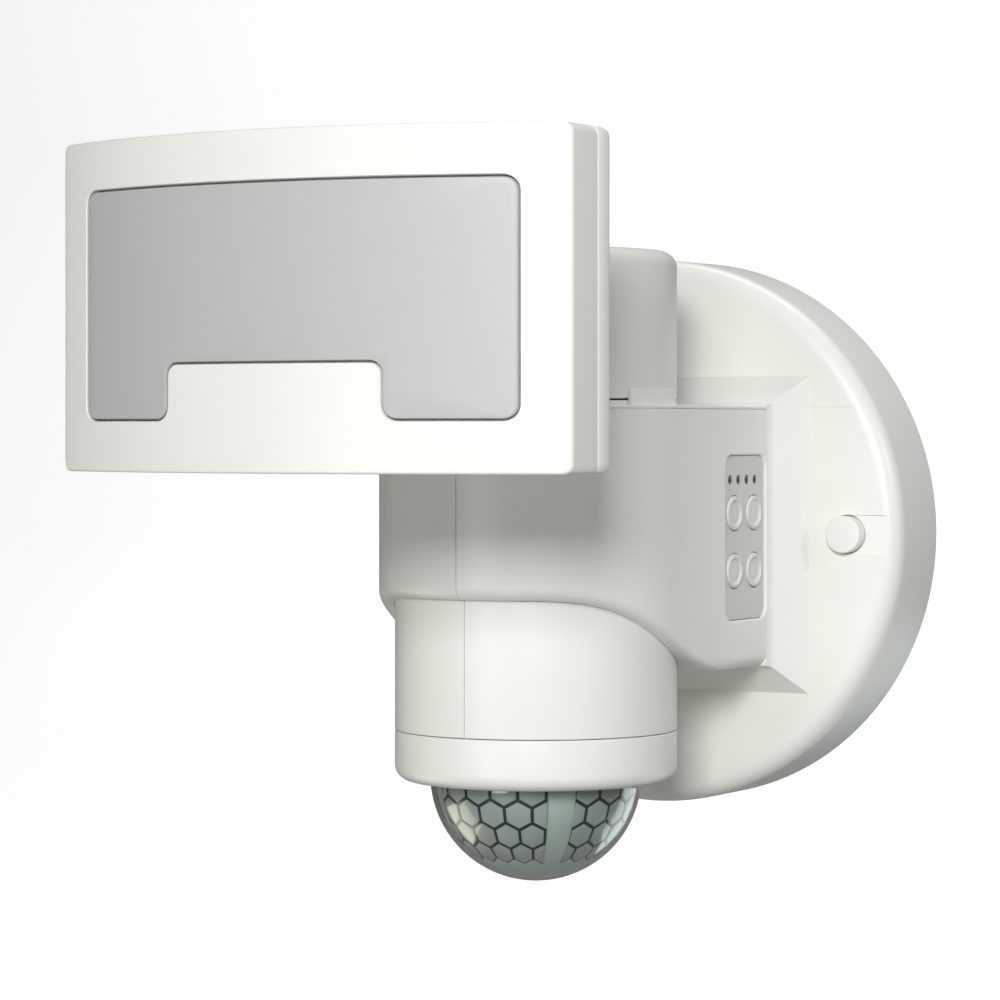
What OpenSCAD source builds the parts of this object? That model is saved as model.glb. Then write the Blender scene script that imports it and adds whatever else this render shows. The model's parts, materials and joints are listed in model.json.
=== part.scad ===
// Wall floodlight with a motor-turned lamp head and a domed movement sensor.
// Frame: origin at the centre of the back face of the wall flange.
// +Y points into the wall, -Y points out into the yard, +Z is up, X is across.

/* [Wall flange] */
// outer radius of the round wall flange
flange_r = 85.5; // [85:0.5:88]
// depth of the flange from the wall to its front face
flange_t = 30; // [29.5:0.5:31]
// radius of the rounded front edge of the flange
flange_edge_r = 6; // [5:0.5:7]
// distance of each wall screw from the centre
screw_x = 68.5; // [67:0.5:69.5]
// radius of the wall screw holes
screw_hole_r = 2.6; // [2.2:0.1:3]
// width of the sloped shoulder round the root of the arm
flare_w = 9; // [8:0.5:10]
// radius of the bore in the cable grommet
cable_r = 4; // [3:0.1:5]

/* [Arm and collar] */
// distance from the wall to the upright axis that the head turns on
column_y = 102; // [102:0.5:104]
// radius of the collar, and half the width of the arm
collar_r = 46.7; // [46.5:0.1:47.5]
// height of the top of the arm
arm_top = 39.2; // [39:0.1:39.5]
// height of the underside of the arm near the wall
arm_bottom = -40.3; // [-41:0.1:-40]
// height of the lower edge of the collar at the front
collar_bottom = -17; // [-19:0.5:-16.5]
// wall thickness of the plastic mouldings
wall = 2.6; // [2.4:0.1:2.7]

/* [Movement sensor] */
// radius of the sensor sleeve and of its ring
sleeve_r = 42; // [41.8:0.1:42.2]
// height of the seam between the sleeve and the ring
ring_seam = -57; // [-58:0.5:-56]
// height of the underside of the ring
ring_bottom = -72; // [-73:0.5:-71.5]
// outer radius of the dome
dome_r = 31.5; // [31:0.1:32]

/* [Control panel] */
// radius of each push button
button_r = 5.2; // [4.8:0.1:5.3]
// travel of each push button
button_travel = 0.8; // [0.5:0.1:0.8]

/* [Lamp head] */
// radius of the round rear housing of the head
head_r = 42; // [41.6:0.1:42]
// height of the underside of the rear housing
head_low = 41.05; // [41.05:0.05:41.2]
// height of the top of the rear housing
head_top = 85; // [83:0.5:90]
// half the width of the lamp panel
panel_half = 81; // [80:0.5:84]
// height of the top edge of the lamp panel
panel_top = 111.4; // [110:0.2:116]
// height of the bottom edge of the lamp panel
panel_bottom = 20.5; // [19:0.5:21]
// distance from the turning axis forward to the front corners of the panel
panel_front = 124.3; // [124:0.1:126]
// how far the middle of the panel bows out past its corners
panel_bow = 20.85; // [20:0.05:22]

/* [Hidden] */
$fn = 96;
fit = 0.1;
eps = 0.5;
flange_in_t = flange_t - wall;
flange_in_r = flange_r - wall;
edge_in_r = flange_edge_r - wall;
flare_y = flange_t + flare_w;
passage_x = collar_r - wall - 0.1;
passage_top = arm_top - 3.7;
passage_bottom = arm_bottom + wall;
flare_top = arm_top + 0.3;
screw_tube_r = 8;
plug_r = 5.7;
plate_z = 4;
plate_t = 2;
plate_r = flange_in_r - 0.4;
plate_screw_x = 46;
plate_screw_z = 58;
grommet_z = -45;
lid_t = 1;
lid_low = arm_top - lid_t;
lid_plug_t = 1.6;
plinth_top = arm_top + 1.3;
lip_low = arm_top - 0.2;
lip_top = 44;
lip_in_r = head_r + 0.35;
lip_out_r = head_r + 1.6;
lip_mid = 84;
lip_span = 31;
slope_front = -42;
slope_back = 36;
slope_steps = 26;
shell_screw_r = 1.5;
shell_screw_spots = [[-112, 14], [-54, -30], [-49, 27]];
shell_screw_seat = -12;
shell_post_r = 4.8;
spindle_r = 9;
spindle_bore_r = 6.5;
gear_teeth = 40;
pinion_teeth = 12;
gear_module = 1;
motor_dy = gear_module * (gear_teeth + pinion_teeth) / 2;
gear_low = 28.5;
gear_t = 5;
shaft_r = 2.5;
bracket_z = 25;
bracket_t = 1.6;
standoff_x = 24;
panel_y0 = 41.5;
panel_y1 = 68.9;
panel_z0 = -25.5;
panel_z1 = 24.3;
panel_corner = 4;
button_ys = [-61.7, -48.4];
button_zs = [6.8, -10.6];
button_hole_r = button_r + 0.3;
led_y0 = -64.4;
led_pitch = 5.6;
led_z = 16.9;
dome_z = ring_bottom + 1.4;
dome_wall = 1.5;
lens_r = dome_r - dome_wall - 0.4;
lens_t = 1;
lens_low = -52.5;
lens_gaps = [[-36, 72], [-132, 80], [52, 80]];
bow_r = (panel_half * panel_half + panel_bow * panel_bow) / (2 * panel_bow);
bow_y = bow_r - panel_front - panel_bow;
seam_r = sqrt(panel_half * panel_half + pow(bow_y + panel_front - 13.7, 2));
rear_r = sqrt(panel_half * panel_half + pow(bow_y + panel_front - 22.1, 2));
panel_corner_r = 2.6;
window_half = panel_half - 12.2;
window_bottom = panel_bottom + 13.9;
window_top = panel_top - 13.6;
notch_half = 33.5;
notch_top = window_bottom + 15.2;
bezel_screw_x = panel_half - 7;
bezel_screw_z0 = panel_bottom + 7;
bezel_screw_z1 = panel_top - 7;
neck_half = 34;
neck_low = 46;

// ---- shared shapes ----

// moves children onto the upright turning axis
module on_column() {
    translate([0, -column_y, 0]) children();
}

// turns a shape drawn upwards so that it rises out of the wall, its Y becoming height
module out_of_wall() {
    rotate([90, 0, 0]) children();
}

// rectangle with round corners, from (x0, y0) to (x1, y1)
module round_rect(x0, y0, x1, y1, r) {
    translate([x0 + r, y0]) square([x1 - x0 - 2 * r, y1 - y0]);
    translate([x0, y0 + r]) square([x1 - x0, y1 - y0 - 2 * r]);
    for (x = [x0 + r, x1 - r])
        for (y = [y0 + r, y1 - r])
            translate([x, y]) circle(r);
}

// solid disc out of the wall with a rounded front edge
module edged_disc(r, t, edge) {
    out_of_wall() rotate_extrude() {
        square([r - edge, t]);
        square([r, t - edge]);
        translate([r - edge, t - edge]) intersection() {
            circle(edge);
            square(edge);
        }
    }
}

// ring between two radii
module ring(z0, z1, r_out, r_in) {
    translate([0, 0, z0]) difference() {
        cylinder(h = z1 - z0, r = r_out);
        translate([0, 0, -eps]) cylinder(h = z1 - z0 + 2 * eps, r = r_in);
    }
}

// plain disc between two heights
module disc(z0, z1, r) {
    translate([0, 0, z0]) cylinder(h = z1 - z0, r = r);
}

// small screw pointing down its own -Z, its head resting on z = 0
module screw(length, shank_r, head_r, head_t) {
    translate([0, 0, -length]) cylinder(h = length + 0.2, r = shank_r);
    difference() {
        cylinder(h = head_t, r = head_r);
        for (a = [0, 90])
            rotate([0, 0, a]) translate([-head_r * 0.6, -0.3, head_t - 0.7])
                cube([head_r * 1.2, 0.6, 1]);
    }
}

// spur gear with straight-sided teeth, a little thinned so that it turns freely
module spur(teeth, z0, t, bore_r) {
    pitch_r = gear_module * teeth / 2;
    root_r = pitch_r - 1.25 * gear_module;
    tip_r = pitch_r + 0.9 * gear_module;
    step = 360 / teeth;
    translate([0, 0, z0]) difference() {
        union() {
            cylinder(h = t, r = root_r);
            for (i = [0 : teeth - 1])
                rotate([0, 0, i * step]) linear_extrude(t)
                    polygon([
                        [root_r - 0.4, -step * root_r * 0.0053],
                        [pitch_r, -step * pitch_r * 0.0038],
                        [tip_r, -step * tip_r * 0.0016],
                        [tip_r, step * tip_r * 0.0016],
                        [pitch_r, step * pitch_r * 0.0038],
                        [root_r - 0.4, step * root_r * 0.0053]
                    ]);
        }
        translate([0, 0, -eps]) cylinder(h = t + 2 * eps, r = bore_r);
    }
}

// ---- wall end ----

// truncated pyramid round the root of the arm, wide end at y0
module flare_block(half_x, half_z, z_mid, grow, y0, y1) {
    wide_x = half_x + grow;
    wide_z = half_z + grow;
    translate([0, 0, z_mid]) polyhedron(
        points = [
            [-wide_x, -y0, -wide_z], [wide_x, -y0, -wide_z],
            [wide_x, -y0, wide_z], [-wide_x, -y0, wide_z],
            [-half_x, -y1, -half_z], [half_x, -y1, -half_z],
            [half_x, -y1, half_z], [-half_x, -y1, half_z]
        ],
        faces = [[0, 1, 2, 3], [7, 6, 5, 4], [4, 5, 1, 0], [5, 6, 2, 1], [6, 7, 3, 2], [7, 4, 0, 3]]
    );
}

module wall_flange() {
    flare_mid = (flare_top + arm_bottom) / 2;
    flare_half_z = (flare_top - arm_bottom) / 2;
    color([0.94, 0.94, 0.92]) difference() {
        union() {
            difference() {
                edged_disc(flange_r, flange_t, flange_edge_r);
                translate([0, eps, 0])
                    edged_disc(flange_in_r, flange_in_t + eps, edge_in_r);
            }
            flare_block(collar_r, flare_half_z, flare_mid, flare_w, flange_t - 0.4, flare_y);
            for (side = [-1, 1])
                translate([side * screw_x, -1, 0]) out_of_wall()
                    cylinder(h = flange_t - 1.5, r = screw_tube_r);
            for (x = [-plate_screw_x, plate_screw_x])
                for (z = [-plate_screw_z, plate_screw_z])
                    translate([x, -plate_z - plate_t - 0.1, z]) out_of_wall()
                        cylinder(h = flange_in_t - plate_z - plate_t + 1, r = 4);
        }
        // the way into the arm
        translate([-passage_x, -flare_y - 1, passage_bottom])
            cube([2 * passage_x, flare_y + 1 - 20, passage_top - passage_bottom]);
        // stepped screw holes, wide at the front for a driver and the plug
        for (side = [-1, 1]) {
            translate([side * screw_x, eps, 0]) out_of_wall() cylinder(h = 12, r = screw_hole_r);
            translate([side * screw_x, -9, 0]) out_of_wall()
                cylinder(h = flange_t, r = plug_r + 0.2);
            // shallow slot from the screw hole out to the rounded edge
            translate([side > 0 ? screw_x : -flange_r - 1, -flange_t - 1, -plug_r - 0.2])
                cube([flange_r - screw_x + 1, 1.7, 2 * plug_r + 0.4]);
            // fine witness line level with the top of the arm
            translate([side > 0 ? collar_r + flare_w : -flange_r - 1, -flange_t - 1, arm_top - 0.6])
                cube([flange_r - collar_r - flare_w + 1, 1.25, 0.35]);
        }
        for (x = [-plate_screw_x, plate_screw_x])
            for (z = [-plate_screw_z, plate_screw_z])
                translate([x, -plate_z, z]) out_of_wall() cylinder(h = 14, r = 1.35);
    }
}

module back_plate() {
    color([0.85, 0.85, 0.83]) difference() {
        union() {
            translate([0, -plate_z, 0]) out_of_wall() cylinder(h = plate_t, r = plate_r);
            out_of_wall() cylinder(h = plate_z + plate_t, r = 14);
            translate([0, -1, grommet_z]) out_of_wall() cylinder(h = plate_z + plate_t - 1, r = 13);
        }
        for (side = [-1, 1])
            translate([side * screw_x, 1, 0]) out_of_wall()
                cylinder(h = 12, r = screw_tube_r + 0.3);
        translate([0, 1, grommet_z]) out_of_wall() cylinder(h = 12, r = 9.1);
        for (x = [-plate_screw_x, plate_screw_x])
            for (z = [-plate_screw_z, plate_screw_z])
                translate([x, 1, z]) out_of_wall() cylinder(h = 12, r = 1.8);
    }
}

module wall_gasket() {
    color([0.2, 0.2, 0.21]) out_of_wall()
        ring(0, plate_z - 0.1, plate_r, plate_r - 4);
}

module cable_grommet() {
    color([0.15, 0.15, 0.16]) translate([0, 0, grommet_z]) out_of_wall() difference() {
        union() {
            disc(0.5, 10.5, 9);
            disc(plate_z + plate_t + 0.1, 8.5, 11.5);
        }
        translate([0, 0, -1]) cylinder(h = 14, r = cable_r);
    }
}

module terminal_block() {
    color([0.9, 0.9, 0.88]) difference() {
        translate([-18, -plate_z - plate_t - 14.1, 16]) cube([36, 14, 16]);
        for (x = [-12, 0, 12]) {
            for (z = [20, 28])
                translate([x, -plate_z - plate_t - 8, z]) out_of_wall() cylinder(h = 8, r = 2.2);
            translate([x, -plate_z - plate_t - 5, 15]) cylinder(h = 18, r = 1.7);
        }
    }
}

module terminal_screws() {
    color([0.75, 0.6, 0.3])
        for (x = [-12, 0, 12])
            for (z = [20, 28])
                translate([x, -plate_z - plate_t - 11.5, z]) out_of_wall()
                    screw(3.2, 1.5, 2, 1.4);
}

module plate_screws() {
    color([0.7, 0.7, 0.72])
        for (x = [-plate_screw_x, plate_screw_x])
            for (z = [-plate_screw_z, plate_screw_z])
                translate([x, -plate_z + 0.1, z]) rotate([-90, 0, 0]) screw(12, 1.3, 2.8, 1.6);
}

module screw_plugs() {
    color([0.95, 0.95, 0.93])
        for (side = [-1, 1])
            translate([side * screw_x, -flange_t + 8, 0]) out_of_wall() {
                cylinder(h = 10.6, r = plug_r);
                translate([0, 0, 10.6]) cylinder(h = 0.9, r = plug_r - 0.25);
            }
}

// ---- arm and collar ----

// outline of the arm seen from above, drawn in by a wall if asked
module arm_plan(inset) {
    translate([0, -column_y]) circle(collar_r - inset);
    translate([-collar_r + inset, -column_y])
        square([2 * (collar_r - inset), column_y - flare_y]);
}

// height of the underside at a distance behind the turning axis
function slope_z(y) =
    collar_bottom - (collar_bottom - arm_bottom)
    * (0.5 - 0.5 * cos(180 * (y - slope_front) / (slope_back - slope_front)));

// block below the sweeping underside, raised by a wall if asked
module below_slope(raise) {
    slope_points = [for (i = [0 : slope_steps])
        let (y = slope_front + (slope_back - slope_front) * i / slope_steps)
            [y, slope_z(y) + raise]];
    translate([-100, -column_y, 0]) rotate([90, 0, 90]) linear_extrude(200)
        polygon(concat(
            [[-80, collar_bottom + raise]],
            slope_points,
            [[column_y, arm_bottom + raise], [column_y, -90], [-80, -90]]
        ));
}

module arm_body() {
    difference() {
        union() {
            difference() {
                translate([0, 0, arm_bottom]) linear_extrude(lid_low - arm_bottom) arm_plan(0);
                below_slope(0);
                difference() {
                    translate([0, 0, arm_bottom]) linear_extrude(100) arm_plan(wall);
                    below_slope(wall);
                }
            }
            // spigot that enters the flange
            difference() {
                union() {
                    translate([-passage_x + fit, -flare_y - 1, passage_bottom + fit])
                        cube([2 * (passage_x - fit), flare_w + 5,
                            passage_top - passage_bottom - 2 * fit]);
                    translate([-collar_r + wall - 0.2, -flare_y - 4, arm_bottom + wall - 0.2])
                        cube([2 * (collar_r - wall + 0.2), 4,
                            passage_top - arm_bottom - wall]);
                }
                translate([-passage_x + wall, -flare_y - 5, passage_bottom + wall])
                    cube([2 * (passage_x - wall), flare_w + 12,
                        passage_top - passage_bottom - 2 * wall]);
            }
            // posts that the side screws clamp
            intersection() {
                translate([0, 0, arm_bottom]) linear_extrude(100) arm_plan(1);
                for (s = shell_screw_spots)
                    translate([-collar_r, s[0], s[1]]) rotate([0, 90, 0])
                        cylinder(h = 2 * collar_r, r = shell_post_r);
            }
        }
        // way through for the sensor sleeve
        on_column() translate([0, 0, -90]) cylinder(h = 77, r = sleeve_r + 0.15);
        for (s = shell_screw_spots) {
            translate([-collar_r - 1, s[0], s[1]]) rotate([0, 90, 0]) {
                cylinder(h = collar_r + 16, r = shell_screw_r + 0.1);
                cylinder(h = collar_r + 1 + shell_screw_seat, r = 3.2);
            }
        }
    }
}

// opening for the control panel, grown by a margin
module control_opening(grow, x0, x1) {
    translate([x0, 0, 0]) rotate([90, 0, 90]) linear_extrude(x1 - x0)
        round_rect(-panel_y1 - grow, panel_z0 - grow, -panel_y0 + grow, panel_z1 + grow,
            panel_corner + grow);
}

module arm_shell_left() {
    color([0.93, 0.93, 0.91]) difference() {
        arm_body();
        translate([-0.05, -200, -100]) cube([100, 200, 200]);
    }
}

module arm_shell_right() {
    color([0.93, 0.93, 0.91]) difference() {
        arm_body();
        translate([-99.95, -200, -100]) cube([100, 200, 200]);
        control_opening(0, collar_r - 6, collar_r + 1);
        // flat pocket behind the opening for the keypad
        translate([30, -73, -29]) cube([collar_r - wall - 30, 34.5, 57.5]);
    }
}

module shell_screws() {
    color([0.7, 0.7, 0.72])
        for (s = shell_screw_spots)
            translate([shell_screw_seat - 0.02, s[0], s[1]]) rotate([0, -90, 0])
                screw(20, shell_screw_r - 0.05, 3, 1.8);
}

module top_cover() {
    color([0.93, 0.93, 0.91]) difference() {
        union() {
            translate([0, 0, lid_low + 0.05]) linear_extrude(lid_t - 0.05) arm_plan(0);
            translate([0, 0, lid_low - lid_plug_t]) linear_extrude(lid_plug_t + 0.2)
                arm_plan(wall + fit);
            on_column() {
                disc(lid_low, plinth_top, sleeve_r);
                disc(35, lid_low, 13.5);
                // a lip on each side that wraps the foot of the head
                for (side = [-1, 1])
                    rotate([0, 0, side * lip_mid - 90 - lip_span / 2])
                        rotate_extrude(angle = lip_span)
                            translate([lip_in_r, lip_low])
                                square([lip_out_r - lip_in_r, lip_top - lip_low]);
                for (x = [-standoff_x, standoff_x])
                    translate([x, motor_dy, 0])
                        disc(bracket_z + bracket_t + 0.1, lid_low, 3.4);
            }
        }
        on_column() {
            translate([0, 0, 20]) cylinder(h = 30, r = 10.6);
            disc(plinth_top - 1.1, plinth_top + 1, 14.1);
            for (x = [-standoff_x, standoff_x])
                translate([x, motor_dy, 20]) cylinder(h = 16, r = 1.3);
        }
    }
}

// ---- turning drive ----

module pan_bushing() {
    color([0.8, 0.65, 0.35]) on_column() difference() {
        union() {
            disc(35, plinth_top, 10.5);
            disc(plinth_top - 1, plinth_top + 0.2, 14);
        }
        translate([0, 0, 30]) cylinder(h = 20, r = spindle_r + 0.05);
    }
}

module motor_bracket() {
    color([0.7, 0.71, 0.72]) on_column() difference() {
        translate([-standoff_x - 3.6, motor_dy - 11.5, bracket_z])
            cube([2 * standoff_x + 7.2, 24, bracket_t]);
        translate([0, motor_dy, bracket_z - 1]) cylinder(h = 4, r = 4.8);
        for (x = [-standoff_x, standoff_x])
            translate([x, motor_dy, bracket_z - 1]) cylinder(h = 4, r = 1.6);
    }
}

module pan_motor() {
    color([0.62, 0.63, 0.64]) on_column() translate([0, motor_dy, 0]) difference() {
        union() {
            disc(6, bracket_z - 0.1, 14);
            disc(bracket_z - 0.2, bracket_z + 1.4, 4.5);
            for (x = [-17, 17])
                translate([x, 0, 0]) disc(bracket_z - 1.1, bracket_z - 0.1, 3.5);
            translate([-17, -3.5, bracket_z - 1.1]) cube([34, 7, 1]);
        }
        translate([0, 0, 14]) cylinder(h = 20, r = shaft_r + 0.05);
    }
}

module motor_shaft() {
    color([0.75, 0.76, 0.78]) on_column() translate([0, motor_dy, 0])
        disc(14.4, gear_low + gear_t + 0.6, shaft_r);
}

module motor_pinion() {
    color([0.9, 0.88, 0.8]) on_column() translate([0, motor_dy, 0])
        rotate([0, 0, 90 + 180 / pinion_teeth]) spur(pinion_teeth, gear_low, gear_t, shaft_r + 0.02);
}

module bracket_screws() {
    color([0.7, 0.7, 0.72]) on_column()
        for (x = [-standoff_x, standoff_x])
            translate([x, motor_dy, bracket_z - 0.1]) rotate([180, 0, 0])
                screw(9, 1.25, 2.6, 1.5);
}

// ---- electronics in the arm ----

module driver_board() {
    color([0.1, 0.35, 0.2]) difference() {
        translate([-30, -96, -11.6]) cube([60, 50, 1.6]);
        for (x = [-26, 26])
            for (y = [-92, -50])
                translate([x, y, -13]) cylinder(h = 4, r = 1.6);
    }
}

module power_parts() {
    color([0.25, 0.25, 0.28]) translate([0, 0, -9.9]) {
        translate([-24, -70, 0]) cube([18, 16, 13]);
        translate([12, -62, 0]) cylinder(h = 15, r = 6);
        translate([20, -82, 0]) cylinder(h = 12, r = 4);
        translate([-4, -92, 0]) cube([16, 10, 9]);
        translate([-24, -90, 0]) cube([12, 10, 6]);
    }
}

// ---- control panel ----

module control_plate() {
    color([0.8, 0.8, 0.79]) difference() {
        union() {
            control_opening(-0.15, collar_r - 2.8, collar_r - 0.8);
            control_opening(2, collar_r - 4.1, collar_r - wall - 0.1);
        }
        for (y = button_ys)
            for (z = button_zs)
                translate([collar_r - 6, y, z]) rotate([0, 90, 0])
                    cylinder(h = 8, r = button_hole_r);
        for (i = [0 : 3])
            translate([collar_r - 6, led_y0 + i * led_pitch, led_z]) rotate([0, 90, 0])
                cylinder(h = 8, r = 1.5);
    }
}

module status_leds() {
    color([0.2, 0.2, 0.2])
        for (i = [0 : 3])
            translate([collar_r - 3.6, led_y0 + i * led_pitch, led_z]) rotate([0, 90, 0])
                cylinder(h = 3, r = 1.4);
}

// push button: a stem, a flange behind the plate, and a cap with a stepped edge
module button(y, z) {
    color([0.86, 0.86, 0.85]) translate([collar_r, y, z]) rotate([0, 90, 0]) {
        disc(-6.8, -5.7, 2);
        disc(-5.8, -4.5, button_hole_r + 0.6);
        disc(-4.6, -0.5, button_r);
        disc(-0.6, -0.1, button_r - 0.5);
    }
}

module button_1() {
    button(button_ys[0], button_zs[0]);
}

module button_2() {
    button(button_ys[1], button_zs[0]);
}

module button_3() {
    button(button_ys[0], button_zs[1]);
}

module button_4() {
    button(button_ys[1], button_zs[1]);
}

module control_board() {
    color([0.1, 0.35, 0.2])
        translate([collar_r - 14, -71, panel_z0]) cube([1.6, 30, panel_z1 - panel_z0]);
}

module tact_switches() {
    color([0.15, 0.15, 0.16])
        for (y = button_ys)
            for (z = button_zs) {
                translate([collar_r - 12.3, y - 3, z - 3]) cube([3.6, 6, 6]);
                translate([collar_r - 8.8, y, z]) rotate([0, 90, 0])
                    disc(0, 1.6 - button_travel, 1.6);
            }
}

// ---- movement sensor ----

module sleeve_body() {
    on_column() {
        ring(ring_seam + 0.1, -12, sleeve_r, sleeve_r - wall);
        ring(-14.2, -12, collar_r - wall - 0.2, sleeve_r - wall);
        ring(ring_seam + 0.2, ring_seam + 3, sleeve_r - wall + 0.2, sleeve_r - wall - 2);
        ring(ring_seam - 5, ring_seam + 0.4, sleeve_r - wall - 0.1, sleeve_r - wall - 2);
    }
}

module sleeve_left() {
    color([0.94, 0.94, 0.92]) difference() {
        sleeve_body();
        translate([-0.05, -200, -100]) cube([100, 200, 200]);
    }
}

module sleeve_right() {
    color([0.94, 0.94, 0.92]) difference() {
        sleeve_body();
        translate([-99.95, -200, -100]) cube([100, 200, 200]);
    }
}

module sensor_ring() {
    edge = 4.5;
    color([0.94, 0.94, 0.92]) on_column() difference() {
        rotate_extrude() {
            translate([0, ring_bottom + edge])
                square([sleeve_r, ring_seam - 0.1 - ring_bottom - edge]);
            translate([0, ring_bottom]) square([sleeve_r - edge, edge + 1]);
            translate([sleeve_r - edge, ring_bottom + edge]) circle(edge);
        }
        disc(ring_bottom + wall, ring_seam + 1, sleeve_r - wall + 0.05);
        disc(ring_bottom - 1, ring_seam, dome_r + 0.3);
    }
}

module dome_cover() {
    color([0.6, 0.66, 0.62, 0.45]) on_column() rotate_extrude() {
        translate([0, dome_z]) difference() {
            circle(dome_r);
            circle(dome_r - dome_wall);
            translate([-50, 0]) square([100, 50]);
            translate([-50, -50]) square([50, 100]);
        }
        translate([dome_r - dome_wall, dome_z]) square([dome_wall, 5]);
        translate([dome_r - dome_wall, ring_bottom + wall + 0.1]) square([5, 1.6]);
    }
}

// wedge of a ring seen from the middle of the dome, between two elevations
module dome_wedge(from, span, low, high, r_in, r_out) {
    rotate([0, 0, from - 90]) rotate_extrude(angle = span)
        polygon([
            [r_in * cos(low), r_in * sin(low)],
            [r_out * cos(low), r_out * sin(low)],
            [r_out * cos(high), r_out * sin(high)],
            [r_in * cos(high), r_in * sin(high)]
        ]);
}

// outline of the lower half of the thin lens shell, in section
module lens_section() {
    intersection() {
        difference() {
            circle(lens_r);
            circle(lens_r - lens_t);
        }
        translate([0, -lens_r - 1]) square([lens_r + 1, lens_r + 1]);
    }
}

// one celled sheet that fills a gap of the frame
module lens_sheet(from, span) {
    on_column() translate([0, 0, dome_z]) rotate([0, 0, from - 90]) rotate_extrude(angle = span)
        intersection() {
            lens_section();
            polygon([
                [0, 0],
                [60 * cos(lens_low + 0.4), 60 * sin(lens_low + 0.4)],
                [60, -45],
                [60 * cos(-0.9), 60 * sin(-0.9)]
            ]);
        }
}

module lens_frame() {
    color([0.62, 0.68, 0.65, 0.7]) on_column() translate([0, 0, dome_z]) difference() {
        rotate_extrude() {
            lens_section();
            translate([lens_r - lens_t, -0.2]) square([lens_t, 3.2]);
        }
        for (gap = lens_gaps)
            dome_wedge(gap[0] - 0.4, gap[1] + 0.8, lens_low, -0.5, lens_r - 6, lens_r + 6);
    }
}

module lens_front() {
    color([0.5, 0.57, 0.54, 0.85]) lens_sheet(lens_gaps[0][0], lens_gaps[0][1]);
}

module lens_left() {
    color([0.5, 0.57, 0.54, 0.85]) lens_sheet(lens_gaps[1][0], lens_gaps[1][1]);
}

module lens_right() {
    color([0.5, 0.57, 0.54, 0.85]) lens_sheet(lens_gaps[2][0], lens_gaps[2][1]);
}

module pir_holder() {
    color([0.12, 0.12, 0.13]) on_column() translate([-9, -9, -82]) cube([18, 18, 16.4]);
}

module pir_sensors() {
    color([0.72, 0.72, 0.7]) on_column() for (a = [-90, 0, 90])
        rotate([0, 0, a]) translate([0, -9.1, -75]) rotate([90, 0, 0]) {
            cylinder(h = 1, r = 4.9);
            translate([0, 0, 0.8]) cylinder(h = 3.6, r = 4.2);
        }
}

module pir_board() {
    color([0.1, 0.35, 0.2]) on_column() difference() {
        disc(-65.5, -63.9, 34);
        for (a = [30, 150, 270])
            rotate([0, 0, a]) translate([31, 0, -67]) cylinder(h = 4, r = 1.3);
    }
}

// ---- lamp head ----

// curved band of the panel between two radii about the centre of its bow, in plan
module bow_band(r_in, r_out, half, z0, z1) {
    on_column() translate([0, 0, z0]) linear_extrude(z1 - z0) intersection() {
        translate([0, bow_y]) difference() {
            circle(r_out, $fn = 240);
            circle(r_in, $fn = 240);
        }
        translate([-half, -200]) square([2 * half, 160]);
    }
}

// shape drawn as seen from the front, pushed through the panel
module through_panel() {
    on_column() translate([0, -60, 0]) out_of_wall() linear_extrude(140) children();
}

// outline of the lamp window with its notch, grown by a margin
module window_outline(grow) {
    r = 4;
    half = window_half + grow;
    bottom = window_bottom - grow;
    top = window_top + grow;
    notch = notch_half - grow;
    notch_z = notch_top - grow;
    round_rect(-half, bottom, -notch, top, r);
    round_rect(notch, bottom, half, top, r);
    round_rect(-half, notch_z, half, top, r);
    translate([-notch - 1, notch_z]) square([2 * notch + 2, 9]);
    // rounded inner corners of the notch
    for (side = [-1, 1])
        translate([side * notch, notch_z]) difference() {
            translate([side > 0 ? -3 : -1, -3]) square([4, 4]);
            translate([-side * 3, -3]) circle(3);
        }
}

module panel_outline(inset) {
    round_rect(-panel_half + inset, panel_bottom + inset, panel_half - inset, panel_top - inset,
        panel_corner_r);
}

module front_bezel() {
    color([0.95, 0.95, 0.93]) difference() {
        intersection() {
            bow_band(seam_r, bow_r, panel_half + 5, panel_bottom - 1, panel_top + 1);
            through_panel() panel_outline(0);
        }
        difference() {
            intersection() {
                bow_band(seam_r - 20, bow_r - wall, panel_half, panel_bottom - 1, panel_top + 1);
                through_panel() panel_outline(wall);
            }
            // posts for the screws from behind
            for (x = [-bezel_screw_x, bezel_screw_x])
                for (z = [bezel_screw_z0, bezel_screw_z1])
                    on_column() translate([x, -60, z]) out_of_wall() cylinder(h = 90, r = 5);
        }
        through_panel() window_outline(0);
        for (x = [-bezel_screw_x, bezel_screw_x])
            for (z = [bezel_screw_z0, bezel_screw_z1])
                on_column() translate([x, -60, z]) out_of_wall()
                    cylinder(h = panel_front - 60 - 1.5, r = 1.45);
    }
}

module head_back() {
    color([0.94, 0.94, 0.92]) difference() {
        intersection() {
            bow_band(rear_r, seam_r - 0.3, panel_half + 5, panel_bottom - 1, panel_top + 1);
            through_panel() panel_outline(0);
        }
        intersection() {
            bow_band(rear_r + wall, seam_r + 2, panel_half, panel_bottom - 1, panel_top + 1);
            difference() {
                through_panel() panel_outline(wall);
                for (x = [-bezel_screw_x, bezel_screw_x])
                    for (z = [bezel_screw_z0, bezel_screw_z1])
                        on_column() translate([x, -60, z]) out_of_wall() cylinder(h = 90, r = 5);
            }
        }
        for (x = [-bezel_screw_x, bezel_screw_x])
            for (z = [bezel_screw_z0, bezel_screw_z1])
                on_column() translate([x, -60, z]) out_of_wall() {
                    cylinder(h = 90, r = 1.7);
                    cylinder(h = 50, r = 3.1);
                }
        // wire passage from the neck
        on_column() translate([0, -100, 66]) out_of_wall() cylinder(h = 40, r = 9);
    }
}

module bezel_screws() {
    color([0.7, 0.7, 0.72])
        for (x = [-bezel_screw_x, bezel_screw_x])
            for (z = [bezel_screw_z0, bezel_screw_z1])
                on_column() translate([x, -109.98, z]) rotate([-90, 0, 0])
                    screw(12, 1.4, 2.9, 1.8);
}

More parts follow.
